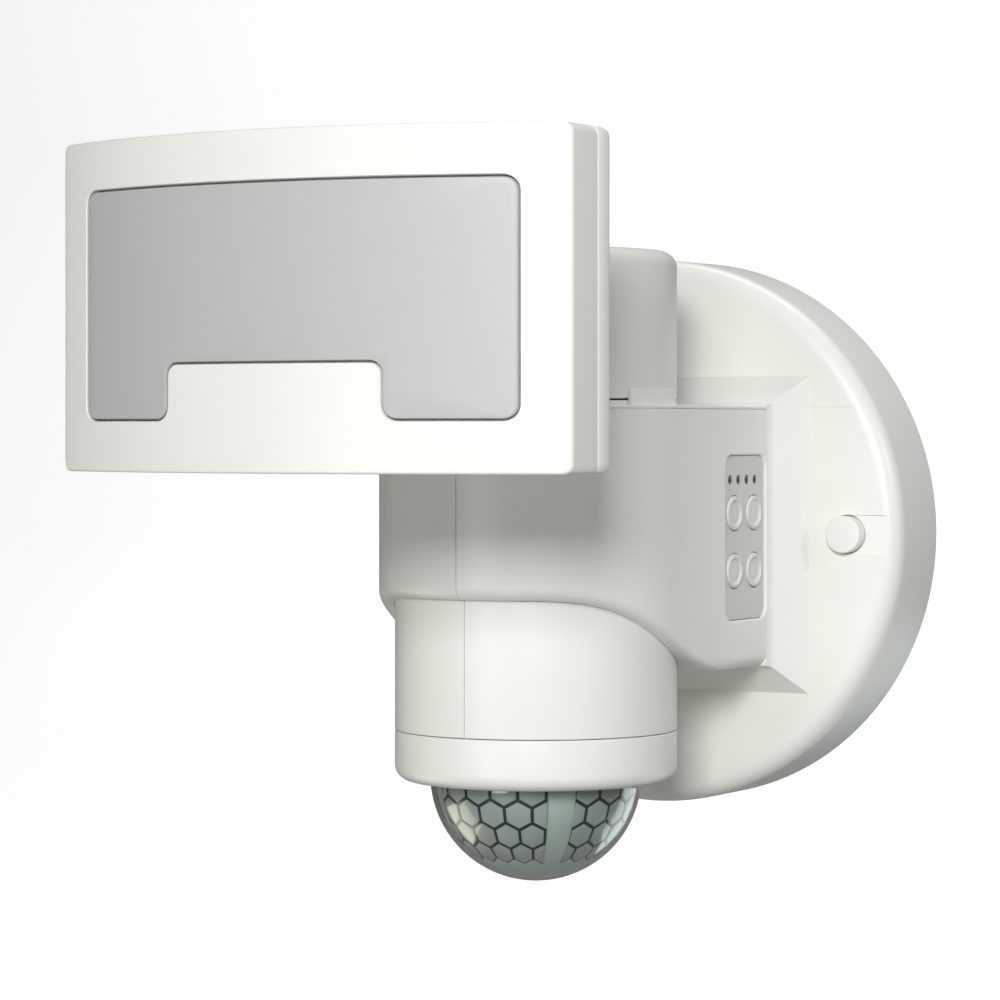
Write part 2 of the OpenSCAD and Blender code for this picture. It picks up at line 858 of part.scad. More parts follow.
// profile of the neck seen from behind, with rounded upper edges
module neck_profile(inset) {
    r = 5;
    x = neck_half - inset;
    low = neck_low + inset;
    top = head_top - inset;
    translate([-x, low]) square([2 * x, top - r - low]);
    translate([-x + r, low]) square([2 * x - 2 * r, top - low]);
    for (side = [-1, 1])
        translate([side * (x - r), top - r]) circle(r);
}

module head_housing() {
    edge = 5;
    color([0.94, 0.94, 0.92]) on_column() difference() {
        union() {
            rotate_extrude() {
                translate([0, head_low]) square([head_r, head_top - edge - head_low]);
                translate([0, head_low]) square([head_r - edge, head_top - head_low]);
                translate([head_r - edge, head_top - edge]) intersection() {
                    circle(edge);
                    square(edge);
                }
            }
            intersection() {
                out_of_wall() linear_extrude(150) neck_profile(0);
                translate([0, bow_y, 0]) cylinder(h = 200, r = rear_r - 0.1, $fn = 240);
            }
        }
        // hollow inside
        difference() {
            union() {
                disc(head_low + wall, head_top - wall, head_r - wall);
                out_of_wall() linear_extrude(150) neck_profile(wall);
            }
            translate([-100, -200, 0]) cube([200, 200 - rear_r + bow_y + wall + 2, 200]);
        }
        out_of_wall() translate([0, 66, 100]) cylinder(h = 60, r = 9);
        translate([0, 0, head_low - 1]) cylinder(h = wall + 2, r = spindle_r + 0.1);
        for (a = [45, 135, 225, 315])
            rotate([0, 0, a]) translate([14, 0, head_low - 1]) cylinder(h = wall + 2, r = 1.3);
    }
}

module lamp_window() {
    color([0.72, 0.72, 0.72]) {
        intersection() {
            bow_band(bow_r - wall - 0.4, bow_r - 0.15, panel_half, panel_bottom, panel_top);
            through_panel() window_outline(-0.5);
        }
        intersection() {
            bow_band(bow_r - wall - 2.2, bow_r - wall - 0.1, panel_half, panel_bottom, panel_top);
            through_panel() window_outline(2.5);
        }
    }
}

module window_gasket() {
    color([0.15, 0.15, 0.16]) intersection() {
        bow_band(bow_r - wall - 3.4, bow_r - wall - 2.3, panel_half, panel_bottom, panel_top);
        difference() {
            through_panel() window_outline(2.5);
            through_panel() window_outline(-1);
        }
    }
}

module reflector() {
    color([0.92, 0.92, 0.92]) difference() {
        intersection() {
            bow_band(bow_r - wall - 6, bow_r - wall - 3.5, panel_half, panel_bottom, panel_top);
            through_panel() window_outline(2.5);
        }
        for (a = [-18, 0, 18])
            for (z = [62, 84])
                on_column() translate([0, bow_y, z]) rotate([0, 0, a])
                    translate([-18, -bow_r - 5, -8]) cube([36, 30, 16]);
    }
}

module led_boards() {
    color([0.85, 0.86, 0.86])
        for (a = [-18, 0, 18])
            on_column() translate([0, bow_y, 0]) rotate([0, 0, a])
                translate([-21, -seam_r - 1.6, 52]) cube([42, 1.2, 44]);
}

module led_emitters() {
    color([0.95, 0.85, 0.4])
        for (a = [-18, 0, 18])
            for (x = [-12, 0, 12])
                for (z = [62, 84])
                    on_column() translate([0, bow_y, 0]) rotate([0, 0, a])
                        translate([x - 2.5, -seam_r - 2.5, z - 2.5]) cube([5, 0.85, 5]);
}

module heatsink() {
    color([0.75, 0.76, 0.77]) {
        bow_band(seam_r - 1.8, seam_r - 0.1, 68, 50, 98);
        for (a = [-21 : 3 : 21])
            if (abs(a) > 3)
                on_column() translate([0, bow_y, 0]) rotate([0, 0, a])
                    translate([-0.6, -seam_r + 0.8, 52]) cube([1.2, 2.6, 44]);
    }
}

module pan_spindle() {
    color([0.75, 0.76, 0.78]) on_column() difference() {
        union() {
            disc(26, head_low + wall + 0.3, spindle_r);
            disc(head_low + wall + 0.05, head_low + wall + 2.5, 17.5);
        }
        translate([0, 0, 20]) cylinder(h = 40, r = spindle_bore_r);
        for (a = [45, 135, 225, 315])
            rotate([0, 0, a]) translate([14, 0, head_low]) cylinder(h = 8, r = 1.6);
    }
}

module spindle_screws() {
    color([0.7, 0.7, 0.72]) on_column()
        for (a = [45, 135, 225, 315])
            rotate([0, 0, a]) translate([14, 0, head_low + wall + 2.6])
                screw(4.6, 1.25, 2.4, 1.4);
}

module pan_gear() {
    color([0.9, 0.88, 0.8]) on_column() rotate([0, 0, 90])
        spur(gear_teeth, gear_low, gear_t, spindle_r + 0.02);
}

module spindle_clip() {
    color([0.6, 0.61, 0.63]) on_column() ring(26.6, 28.2, 12, spindle_r + 0.02);
}

wall_flange();
back_plate();
wall_gasket();
cable_grommet();
terminal_block();
terminal_screws();
plate_screws();
screw_plugs();
arm_shell_left();
arm_shell_right();
shell_screws();
top_cover();
pan_bushing();
motor_bracket();
pan_motor();
bracket_screws();
driver_board();
power_parts();
control_plate();
status_leds();
control_board();
tact_switches();
sleeve_left();
sleeve_right();
sensor_ring();
dome_cover();
lens_frame();
lens_front();
lens_left();
lens_right();
pir_holder();
pir_sensors();
pir_board();
motor_shaft();
motor_pinion();
button_1();
button_2();
button_3();
button_4();
head_housing();
head_back();
front_bezel();
lamp_window();
window_gasket();
reflector();
led_boards();
led_emitters();
heatsink();
bezel_screws();
pan_spindle();
pan_gear();
spindle_clip();
spindle_screws();
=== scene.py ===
"""Dresses a wall floodlight: a bowed lamp panel on a turning head above a domed movement sensor."""

import json
import logging
import math
from collections.abc import Callable, Iterable, Sequence
from dataclasses import dataclass, field
from enum import Enum

import bmesh
import bpy
from mathutils import Matrix, Vector


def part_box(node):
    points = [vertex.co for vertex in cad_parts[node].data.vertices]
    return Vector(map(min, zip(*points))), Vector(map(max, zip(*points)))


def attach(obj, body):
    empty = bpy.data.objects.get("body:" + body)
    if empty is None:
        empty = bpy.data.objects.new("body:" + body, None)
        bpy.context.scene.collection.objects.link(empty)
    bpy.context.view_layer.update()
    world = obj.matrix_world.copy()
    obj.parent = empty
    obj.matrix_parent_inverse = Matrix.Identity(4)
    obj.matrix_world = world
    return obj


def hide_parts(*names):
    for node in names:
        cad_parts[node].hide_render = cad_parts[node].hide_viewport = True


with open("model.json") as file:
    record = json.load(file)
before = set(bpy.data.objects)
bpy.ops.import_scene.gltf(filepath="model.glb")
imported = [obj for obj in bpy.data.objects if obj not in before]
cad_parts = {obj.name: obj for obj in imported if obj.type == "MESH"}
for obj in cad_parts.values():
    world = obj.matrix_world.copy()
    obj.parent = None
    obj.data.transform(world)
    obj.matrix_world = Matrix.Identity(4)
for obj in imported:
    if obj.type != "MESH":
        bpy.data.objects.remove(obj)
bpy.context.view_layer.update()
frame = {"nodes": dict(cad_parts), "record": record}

LOG = logging.getLogger("floodlight")
MM = 0.001

Point = tuple[float, float]
Corner = tuple[float, float, float]
Loop = list[Vector]


# ---------------------------------------------------------------- outlines


def rounded_path(corners: Sequence[Corner], closed: bool = True, steps: int = 6) -> list[Point]:
    """Turns a polyline with a radius at each corner into points.

    Args:
        corners: (x, y, radius) of each corner, in order.
        closed: whether the last corner joins the first.
        steps: number of chords in each rounded corner.

    Returns:
        The points of the outline. Each rounded corner gives steps + 1 points.
    """
    points: list[Point] = []
    count = len(corners)
    for i, (x, y, radius) in enumerate(corners):
        here = Vector((x, y))
        is_end = not closed and i in (0, count - 1)
        if radius <= 0 or is_end:
            points.append((x, y))
            continue
        back = (Vector(corners[i - 1][:2]) - here).normalized()
        ahead = (Vector(corners[(i + 1) % count][:2]) - here).normalized()
        angle = back.angle(ahead)
        start = here + back * (radius / math.tan(angle / 2))
        middle = here + (back + ahead).normalized() * (radius / math.sin(angle / 2))
        arm = start - middle
        turn = math.pi - angle
        if back.x * ahead.y - back.y * ahead.x > 0:
            turn = -turn
        for k in range(steps + 1):
            a = turn * k / steps
            points.append(
                (
                    middle.x + arm.x * math.cos(a) - arm.y * math.sin(a),
                    middle.y + arm.x * math.sin(a) + arm.y * math.cos(a),
                )
            )
    return points


def rectangle(x0: float, y0: float, x1: float, y1: float, radius: float) -> list[Point]:
    """A rectangle with round corners, as an outline.

    Args:
        x0: left edge.
        y0: lower edge.
        x1: right edge.
        y1: upper edge.
        radius: corner radius.

    Returns:
        The points of the outline.
    """
    return rounded_path([(x0, y0, radius), (x1, y0, radius), (x1, y1, radius), (x0, y1, radius)])


def arc(cx: float, cy: float, radius: float, start: float, end: float, steps: int) -> list[Point]:
    """Points along an arc, angles in degrees.

    Args:
        cx: centre across.
        cy: centre up.
        radius: radius of the arc.
        start: first angle.
        end: last angle.
        steps: number of steps.

    Returns:
        The points from first to last.
    """
    return [
        (
            cx + radius * math.cos(math.radians(start + (end - start) * k / steps)),
            cy + radius * math.sin(math.radians(start + (end - start) * k / steps)),
        )
        for k in range(steps + 1)
    ]


# ---------------------------------------------------------------- meshes


class Builder:
    """Makes mesh objects from loops of points given in millimetres."""

    @staticmethod
    def finish_mesh(mesh: bmesh.types.BMesh, name: str, sharp: float = 34.0) -> bpy.types.Object:
        """Welds, orients and shades a mesh, and links it as an object.

        Args:
            mesh: the mesh, in millimetres. It is freed.
            name: name of the object.
            sharp: edges that turn by more than this many degrees stay crisp.

        Returns:
            The new object, in metres.
        """
        bmesh.ops.remove_doubles(mesh, verts=mesh.verts, dist=0.0005)
        bmesh.ops.dissolve_degenerate(mesh, edges=mesh.edges, dist=0.0004)
        loose = [v for v in mesh.verts if not v.link_faces]
        bmesh.ops.delete(mesh, geom=loose, context="VERTS")
        bmesh.ops.recalc_face_normals(mesh, faces=mesh.faces)
        bmesh.ops.scale(mesh, vec=(MM, MM, MM), verts=mesh.verts)
        data = bpy.data.meshes.new(name)
        mesh.to_mesh(data)
        mesh.free()
        piece = bpy.data.objects.new(name, data)
        bpy.context.scene.collection.objects.link(piece)
        Builder.shade(piece, sharp)
        return piece

    @staticmethod
    def shade(piece: bpy.types.Object, sharp: float = 34.0) -> None:
        """Shades a piece smooth, with crisp edges above an angle.

        Args:
            piece: the object.
            sharp: the angle in degrees.
        """
        piece.data.shade_smooth()
        piece.data.set_sharp_from_angle(angle=math.radians(sharp))

    @staticmethod
    def skin(
        loops: Sequence[Loop], name: str, wrap: bool = False, caps: bool = True, sharp: float = 34.0
    ) -> bpy.types.Object:
        """Skins a stack of closed loops that have the same number of points.

        Args:
            loops: the loops, each a closed ring of points.
            name: name of the object.
            wrap: joins the last loop to the first.
            caps: closes both ends with a face.
            sharp: angle above which edges stay crisp.

        Returns:
            The new object.
        """
        mesh = bmesh.new()
        rows = [[mesh.verts.new(p) for p in loop] for loop in loops]
        count = len(rows[0])
        pairs = list(zip(rows, rows[1:]))
        if wrap:
            pairs.append((rows[-1], rows[0]))
        for low, high in pairs:
            for k in range(count):
                n = (k + 1) % count
                mesh.faces.new((low[k], low[n], high[n], high[k]))
        if caps and not wrap:
            mesh.faces.new(list(reversed(rows[0])))
            mesh.faces.new(rows[-1])
        return Builder.finish_mesh(mesh, name, sharp)

    @staticmethod
    def revolve(
        profile: Sequence[Point],
        place: Callable[[float, float, float], Vector],
        name: str,
        steps: int = 96,
        start: float = 0.0,
        span: float = 360.0,
        sharp: float = 34.0,
    ) -> bpy.types.Object:
        """Turns a closed profile about an axis.

        Args:
            profile: (radius, height) points of the closed section.
            place: puts (radius, angle in radians, height) into the row's frame.
            name: name of the object.
            steps: number of steps round.
            start: first angle in degrees.
            span: how far round it goes in degrees.
            sharp: angle above which edges stay crisp.

        Returns:
            The new object.
        """
        whole = span >= 360
        count = steps if whole else steps + 1
        loops = [
            [place(r, math.radians(start + span * i / steps), h) for r, h in profile]
            for i in range(count)
        ]
        return Builder.skin(loops, name, wrap=whole, caps=not whole, sharp=sharp)

    @staticmethod
    def prism(
        outline: Sequence[Point],
        place: Callable[[float, float, float], Vector],
        low: float,
        high: float,
        name: str,
        edge: float = 0.0,
        edge_low: float = 0.0,
    ) -> bpy.types.Object:
        """Raises an outline into a solid, with rounded rims if asked.

        Args:
            outline: closed outline, anticlockwise.
            place: puts (x, y, height) into the row's frame.
            low: height of one face.
            high: height of the other face.
            name: name of the object.
            edge: radius of the rim at the high face.
            edge_low: radius of the rim at the low face.

        Returns:
            The new object.
        """
        layers: list[Point] = []
        for radius, level, sign in ((edge_low, low, 1.0), (edge, high, -1.0)):
            if radius <= 0:
                layers.append((0.0, level))
                continue
            ring = [
                (radius * (1 - math.cos(a)), level + sign * radius * (1 - math.sin(a)))
                for a in (math.radians(22.5 * k) for k in range(5))
            ]
            layers += list(reversed(ring)) if sign > 0 else ring
        loops = [
            [place(x, y, height) for x, y in shrink(outline, inset)] for inset, height in layers
        ]
        return Builder.skin(loops, name)


def shrink(outline: Sequence[Point], inset: float) -> list[Point]:
    """Moves each point of an anticlockwise outline inwards along its own normal.

    Args:
        outline: the closed outline.
        inset: how far to move.

    Returns:
        The new outline, with the same number of points.
    """
    if inset == 0:
        return list(outline)
    moved: list[Point] = []
    count = len(outline)
    for i, (x, y) in enumerate(outline):
        back = Vector(outline[i - 1])
        here = Vector((x, y))
        ahead = Vector(outline[(i + 1) % count])
        first = (here - back).normalized()
        second = (ahead - here).normalized()
        along = first + second
        if along.length < 1e-6:
            along = second
        along.normalize()
        stretch = 1 / max(0.5, along.dot(second))
        moved.append((x - along.y * inset * stretch, y + along.x * inset * stretch))
    return moved


def apply_modifiers(piece: bpy.types.Object, sharp: float = 34.0) -> None:
    """Makes the modifiers of a piece part of its mesh.

    Args:
        piece: the object.
        sharp: angle above which edges stay crisp.
    """
    graph = bpy.context.evaluated_depsgraph_get()
    solid = bpy.data.meshes.new_from_object(piece.evaluated_get(graph))
    piece.modifiers.clear()
    old = piece.data
    piece.data = solid
    solid.name = piece.name
    bpy.data.meshes.remove(old)
    Builder.shade(piece, sharp)


class Cut(Enum):
    """How one solid acts on another."""

    AWAY = "DIFFERENCE"
    JOIN = "UNION"


def combine(piece: bpy.types.Object, tools: Iterable[bpy.types.Object], how: Cut) -> None:
    """Cuts or joins solids, and throws the tools away.

    Args:
        piece: the object that stays.
        tools: the solids that act on it.
        how: cut away or join.
    """
    tools = list(tools)
    for tool in tools:
        step = piece.modifiers.new("step", "BOOLEAN")
        step.operation = how.value
        step.solver = "EXACT"
        step.object = tool
    bpy.context.view_layer.update()
    apply_modifiers(piece)
    for tool in tools:
        data = tool.data
        bpy.data.objects.remove(tool)
        bpy.data.meshes.remove(data)


def soften(piece: bpy.types.Object, width: float, angle: float = 40.0, segments: int = 2) -> None:
    """Rounds the crisp edges of a piece.

    Args:
        piece: the object.
        width: width of the rounding in millimetres.
        angle: edges that turn by more than this many degrees are rounded.
        segments: number of strips in each rounding.
    """
    weld = piece.modifiers.new("weld", "WELD")
    weld.merge_threshold = 0.000004
    rim = piece.modifiers.new("rim", "BEVEL")
    rim.width = width * MM
    rim.segments = segments
    rim.limit_method = "ANGLE"
    rim.angle_limit = math.radians(angle)
    rim.use_clamp_overlap = True
    even = piece.modifiers.new("even", "WEIGHTED_NORMAL")
    even.keep_sharp = True


def join(pieces: Sequence[bpy.types.Object], name: str) -> bpy.types.Object:
    """Puts several meshes into one object.

    Args:
        pieces: the objects, which are thrown away.
        name: name of the new object.

    Returns:
        The new object.
    """
    mesh = bmesh.new()
    for piece in pieces:
        mesh.from_mesh(piece.data)
        data = piece.data
        bpy.data.objects.remove(piece)
        bpy.data.meshes.remove(data)
    data = bpy.data.meshes.new(name)
    mesh.to_mesh(data)
    mesh.free()
    whole = bpy.data.objects.new(name, data)
    bpy.context.scene.collection.objects.link(whole)
    Builder.shade(whole)
    return whole


# ---------------------------------------------------------------- finishes


class Effects:
    """Node groups that several finishes share."""

    _made: dict[str, bpy.types.NodeTree] = {}

    @staticmethod
    def _group(
        name: str, inputs: Sequence[tuple[str, str, float]], outputs: Sequence[tuple[str, str]]
    ) -> tuple[bpy.types.NodeTree, bpy.types.Node, bpy.types.Node]:
        """Starts a node group with named sockets.

        Args:
            name: name of the group.
            inputs: (name, socket type, default) of each input.
            outputs: (name, socket type) of each output.

        Returns:
            The tree, its input node and its output node.
        """
        tree = bpy.data.node_groups.new(name, "ShaderNodeTree")
        for label, kind, default in inputs:
            socket = tree.interface.new_socket(name=label, in_out="INPUT", socket_type=kind)
            if kind == "NodeSocketFloat":
                socket.default_value = default
        for label, kind in outputs:
            tree.interface.new_socket(name=label, in_out="OUTPUT", socket_type=kind)
        return tree, tree.nodes.new("NodeGroupInput"), tree.nodes.new("NodeGroupOutput")

    @classmethod
    def grain(cls) -> bpy.types.NodeTree:
        """Fine moulded or cast grain: it varies colour, roughness and height."""
        if "grain" in cls._made:
            return cls._made["grain"]
        tree, given, out = cls._group(
            "surface grain",
            [
                ("Colour", "NodeSocketColor", 0.0),
                ("Tint", "NodeSocketColor", 0.0),
                ("Mottle", "NodeSocketFloat", 0.3),
                ("Scale", "NodeSocketFloat", 900.0),
                ("Rough", "NodeSocketFloat", 0.4),
                ("Spread", "NodeSocketFloat", 0.1),
            ],
            [("Colour", "NodeSocketColor"), ("Roughness", "NodeSocketFloat"), ("Height", "NodeSocketFloat")],
        )
        place = tree.nodes.new("ShaderNodeTexCoord")
        fine = tree.nodes.new("ShaderNodeTexNoise")
        fine.inputs["Detail"].default_value = 4.0
        fine.inputs["Roughness"].default_value = 0.6
        broad = tree.nodes.new("ShaderNodeTexNoise")
        broad.inputs["Scale"].default_value = 26.0
        broad.inputs["Detail"].default_value = 5.0
        broad.inputs["Roughness"].default_value = 0.55
        pits = tree.nodes.new("ShaderNodeTexVoronoi")
        twice = tree.nodes.new("ShaderNodeMath")
        twice.operation = "MULTIPLY"
        twice.inputs[1].default_value = 0.45
        share = tree.nodes.new("ShaderNodeMath")
        share.operation = "MULTIPLY"
        blend = tree.nodes.new("ShaderNodeMix")
        blend.data_type = "RGBA"
        centre = tree.nodes.new("ShaderNodeMath")
        centre.operation = "SUBTRACT"
        centre.inputs[1].default_value = 0.5
        spread = tree.nodes.new("ShaderNodeMath")
        spread.operation = "MULTIPLY_ADD"
        height = tree.nodes.new("ShaderNodeMath")
        height.operation = "MULTIPLY_ADD"
        height.inputs[1].default_value = 0.35
        link = tree.links.new
        link(place.outputs["Object"], fine.inputs["Vector"])
        link(place.outputs["Object"], broad.inputs["Vector"])
        link(place.outputs["Object"], pits.inputs["Vector"])
        link(given.outputs["Scale"], fine.inputs["Scale"])
        link(given.outputs["Scale"], twice.inputs[0])
        link(twice.outputs[0], pits.inputs["Scale"])
        link(broad.outputs["Fac"], share.inputs[0])
        link(given.outputs["Mottle"], share.inputs[1])
        link(share.outputs[0], blend.inputs["Factor"])
        link(given.outputs["Colour"], blend.inputs["A"])
        link(given.outputs["Tint"], blend.inputs["B"])
        link(broad.outputs["Fac"], centre.inputs[0])
        link(centre.outputs[0], spread.inputs[0])
        link(given.outputs["Spread"], spread.inputs[1])
        link(given.outputs["Rough"], spread.inputs[2])
        link(pits.outputs["Distance"], height.inputs[0])
        link(fine.outputs["Fac"], height.inputs[2])
        link(blend.outputs["Result"], out.inputs["Colour"])
        link(spread.outputs[0], out.inputs["Roughness"])
        link(height.outputs[0], out.inputs["Height"])
        cls._made["grain"] = tree
        return tree

    @classmethod
    def rub(cls) -> bpy.types.NodeTree:
        """Handling wear: a mask that is strongest on outer edges and broken up by noise."""
        if "rub" in cls._made:
            return cls._made["rub"]
        tree, given, out = cls._group(
            "edge rub",
            [("Amount", "NodeSocketFloat", 0.3), ("Scale", "NodeSocketFloat", 120.0)],
            [("Mask", "NodeSocketFloat")],
        )
        place = tree.nodes.new("ShaderNodeTexCoord")
        shape = tree.nodes.new("ShaderNodeNewGeometry")
        patch = tree.nodes.new("ShaderNodeTexNoise")
        patch.inputs["Detail"].default_value = 6.0
        ramp = tree.nodes.new("ShaderNodeMapRange")
        ramp.inputs["From Min"].default_value = 0.51
        ramp.inputs["From Max"].default_value = 0.60
        worn = tree.nodes.new("ShaderNodeMath")
        worn.operation = "MULTIPLY"
        share = tree.nodes.new("ShaderNodeMath")
        share.operation = "MULTIPLY"
        share.use_clamp = True
        link = tree.links.new
        link(place.outputs["Object"], patch.inputs["Vector"])
        link(given.outputs["Scale"], patch.inputs["Scale"])
        link(shape.outputs["Pointiness"], ramp.inputs["Value"])
        link(ramp.outputs["Result"], worn.inputs[0])
        link(patch.outputs["Fac"], worn.inputs[1])
        link(worn.outputs[0], share.inputs[0])
        link(given.outputs["Amount"], share.inputs[1])
        link(share.outputs[0], out.inputs["Mask"])
        cls._made["rub"] = tree
        return tree

    @classmethod
    def strokes(cls) -> bpy.types.NodeTree:
        """Fine parallel lines left by brushing, turning or drawing."""
        if "strokes" in cls._made:
            return cls._made["strokes"]
        tree, given, out = cls._group(
            "tool strokes",
            [("Scale", "NodeSocketFloat", 60.0), ("Stretch", "NodeSocketFloat", 30.0)],
            [("Height", "NodeSocketFloat")],
        )
        place = tree.nodes.new("ShaderNodeTexCoord")
        gather = tree.nodes.new("ShaderNodeCombineXYZ")
        squeeze = tree.nodes.new("ShaderNodeVectorMath")
        squeeze.operation = "MULTIPLY"
        line = tree.nodes.new("ShaderNodeTexNoise")
        line.inputs["Detail"].default_value = 3.0
        gather.inputs["X"].default_value = 1.0
        gather.inputs["Y"].default_value = 1.0
        link = tree.links.new
        link(place.outputs["Object"], squeeze.inputs[0])
        link(given.outputs["Stretch"], gather.inputs["Z"])
        link(gather.outputs["Vector"], squeeze.inputs[1])
        link(squeeze.outputs["Vector"], line.inputs["Vector"])
        link(given.outputs["Scale"], line.inputs["Scale"])
        link(line.outputs["Fac"], out.inputs["Height"])
        cls._made["strokes"] = tree
        return tree


@dataclass(frozen=True)
class Finish:
    """A surface finish.

    Attributes:
        name: name of the material.
        colour: main colour, linear.
        tint: colour that the mottling leads to.
        mottle: how much the mottling shows.
        rough: roughness.
        spread: how far the roughness varies.
        scale: scale of the grain, per metre.
        bump: depth of the grain in millimetres.
        worn: colour that rubbed edges lead to.
        rub: how much the edges are rubbed.
        metallic: 1 for bare metal.
        coat: weight of a clear coat.
        ior: index of refraction.
        transmission: 1 for clear pieces.
        subsurface: share of light scattered under the surface.
        strokes: adds fine lines to the height.
    """

    name: str
    colour: tuple[float, float, float]
    tint: tuple[float, float, float]
    mottle: float = 0.35
    rough: float = 0.4
    spread: float = 0.12
    scale: float = 900.0
    bump: float = 0.02
    worn: tuple[float, float, float] = (0.8, 0.8, 0.78)
    rub: float = 0.25
    metallic: float = 0.0
    coat: float = 0.0
    ior: float = 1.5
    transmission: float = 0.0
    subsurface: float = 0.0
    strokes: bool = False

    def material(self) -> bpy.types.Material:
        """The material for this finish, made on first use.

        Returns:
            The material.
        """
        known = bpy.data.materials.get(self.name)
        if known is not None and known.get("made_here"):
            return known
        made = bpy.data.materials.new(self.name)
        made["made_here"] = True
        made.use_nodes = True
        tree = made.node_tree
        shader = next(n for n in tree.nodes if n.type == "BSDF_PRINCIPLED")
        link = tree.links.new
        grain = tree.nodes.new("ShaderNodeGroup")
        grain.node_tree = Effects.grain()
        grain.inputs["Colour"].default_value = (*self.colour, 1)
        grain.inputs["Tint"].default_value = (*self.tint, 1)
        grain.inputs["Mottle"].default_value = self.mottle
        grain.inputs["Scale"].default_value = self.scale
        grain.inputs["Rough"].default_value = self.rough
        grain.inputs["Spread"].default_value = self.spread
        rub = tree.nodes.new("ShaderNodeGroup")
        rub.node_tree = Effects.rub()
        rub.inputs["Amount"].default_value = self.rub
        rub.inputs["Scale"].default_value = self.scale * 0.2
        wear = tree.nodes.new("ShaderNodeMix")
        wear.data_type = "RGBA"
        wear.inputs["B"].default_value = (*self.worn, 1)
        link(rub.outputs["Mask"], wear.inputs["Factor"])
        link(grain.outputs["Colour"], wear.inputs["A"])
        link(wear.outputs["Result"], shader.inputs["Base Color"])
        link(grain.outputs["Roughness"], shader.inputs["Roughness"])
        bump = tree.nodes.new("ShaderNodeBump")
        bump.inputs["Strength"].default_value = 0.6
        bump.inputs["Distance"].default_value = self.bump * MM
        height = grain.outputs["Height"]
        if self.strokes:
            lines = tree.nodes.new("ShaderNodeGroup")
            lines.node_tree = Effects.strokes()
            add = tree.nodes.new("ShaderNodeMath")
            add.operation = "ADD"
            link(lines.outputs["Height"], add.inputs[0])
            link(height, add.inputs[1])
            height = add.outputs[0]
        link(height, bump.inputs["Height"])
        link(bump.outputs["Normal"], shader.inputs["Normal"])
        shader.inputs["Metallic"].default_value = self.metallic
        shader.inputs["Coat Weight"].default_value = self.coat
        shader.inputs["Coat Roughness"].default_value = 0.12
        shader.inputs["IOR"].default_value = self.ior
        shader.inputs["Transmission Weight"].default_value = self.transmission
        if self.subsurface > 0:
            shader.inputs["Subsurface Weight"].default_value = self.subsurface
            shader.inputs["Subsurface Radius"].default_value = (1.0, 0.8, 0.6)
            shader.inputs["Subsurface Scale"].default_value = 0.002
        return made


WHITE = Finish(
    "white_moulding", (0.80, 0.80, 0.765), (0.73, 0.735, 0.70), mottle=0.22, rough=0.36,
    spread=0.08, scale=1500.0, bump=0.012, worn=(0.86, 0.86, 0.83), rub=0.3,
)
KEY = Finish(
    "key_plastic", (0.68, 0.68, 0.66), (0.63, 0.63, 0.61), mottle=0.25, rough=0.42, scale=1600.0,
    bump=0.01, worn=(0.7, 0.7, 0.68),
)
PANEL = Finish(
    "keypad_plastic", (0.62, 0.62, 0.605), (0.57, 0.57, 0.555), mottle=0.25, rough=0.45,
    scale=1600.0, bump=0.012, worn=(0.6, 0.6, 0.59),
)
INNER = Finish("inner_plastic", (0.62, 0.62, 0.60), (0.54, 0.54, 0.52), rough=0.5, bump=0.02)
FOAM = Finish(
    "foam_rubber", (0.035, 0.035, 0.037), (0.02, 0.02, 0.02), rough=0.95, scale=2600.0, bump=0.18,
    worn=(0.07, 0.07, 0.07),
)
SEAL = Finish(
    "seal_rubber", (0.022, 0.022, 0.023), (0.035, 0.035, 0.035), rough=0.7, scale=1200.0,
    bump=0.03, worn=(0.06, 0.06, 0.06),
)
BRASS = Finish(
    "turned_brass", (0.72, 0.50, 0.20), (0.60, 0.40, 0.16), rough=0.28, metallic=1.0, bump=0.01,
    worn=(0.85, 0.65, 0.33), strokes=True,
)
ZINC = Finish(
    "zinc_plate", (0.62, 0.63, 0.65), (0.50, 0.51, 0.54), rough=0.32, metallic=1.0, bump=0.012,
    worn=(0.8, 0.8, 0.82), strokes=True,
)
NYLON = Finish(
    "gear_nylon", (0.74, 0.70, 0.58), (0.66, 0.61, 0.49), rough=0.45, subsurface=0.2,
    worn=(0.8, 0.77, 0.67),
)
BOARD = Finish(
    "circuit_board", (0.012, 0.10, 0.045), (0.02, 0.15, 0.07), mottle=0.6, rough=0.33,
    scale=500.0, worn=(0.35, 0.30, 0.16), coat=0.4,
)
DARK = Finish(
    "dark_parts", (0.02, 0.02, 0.022), (0.04, 0.04, 0.042), rough=0.48, worn=(0.09, 0.09, 0.09)
)
SMOKED = Finish(
    "smoked_lens", (0.035, 0.035, 0.037), (0.05, 0.05, 0.05), rough=0.16, coat=0.5, bump=0.004,
    worn=(0.09, 0.09, 0.09),
)
DOME = Finish(
    "dome_clear", (0.95, 0.985, 0.965), (0.92, 0.965, 0.94), mottle=0.4, rough=0.02, spread=0.01,
    scale=120.0, bump=0.0004, rub=0.0, transmission=1.0, ior=1.42,
)
RIB = Finish(
    "lens_plain", (0.66, 0.75, 0.69), (0.60, 0.70, 0.64), rough=0.34, subsurface=0.3,
    bump=0.01, worn=(0.42, 0.5, 0.46),
)
CELL = Finish(
    "lens_cells", (0.56, 0.60, 0.56), (0.50, 0.55, 0.51), rough=0.25, coat=0.4,
    subsurface=0.2, bump=0.006, worn=(0.34, 0.40, 0.37),
)
CELL_EDGE = Finish(
    "lens_cell_edges", (0.012, 0.018, 0.015), (0.02, 0.027, 0.023), rough=0.5, bump=0.01,
    worn=(0.03, 0.04, 0.035),
)
CAN = Finish(
    "sensor_can", (0.66, 0.65, 0.62), (0.55, 0.54, 0.52), rough=0.25, metallic=1.0, bump=0.008,
    worn=(0.8, 0.8, 0.78),
)
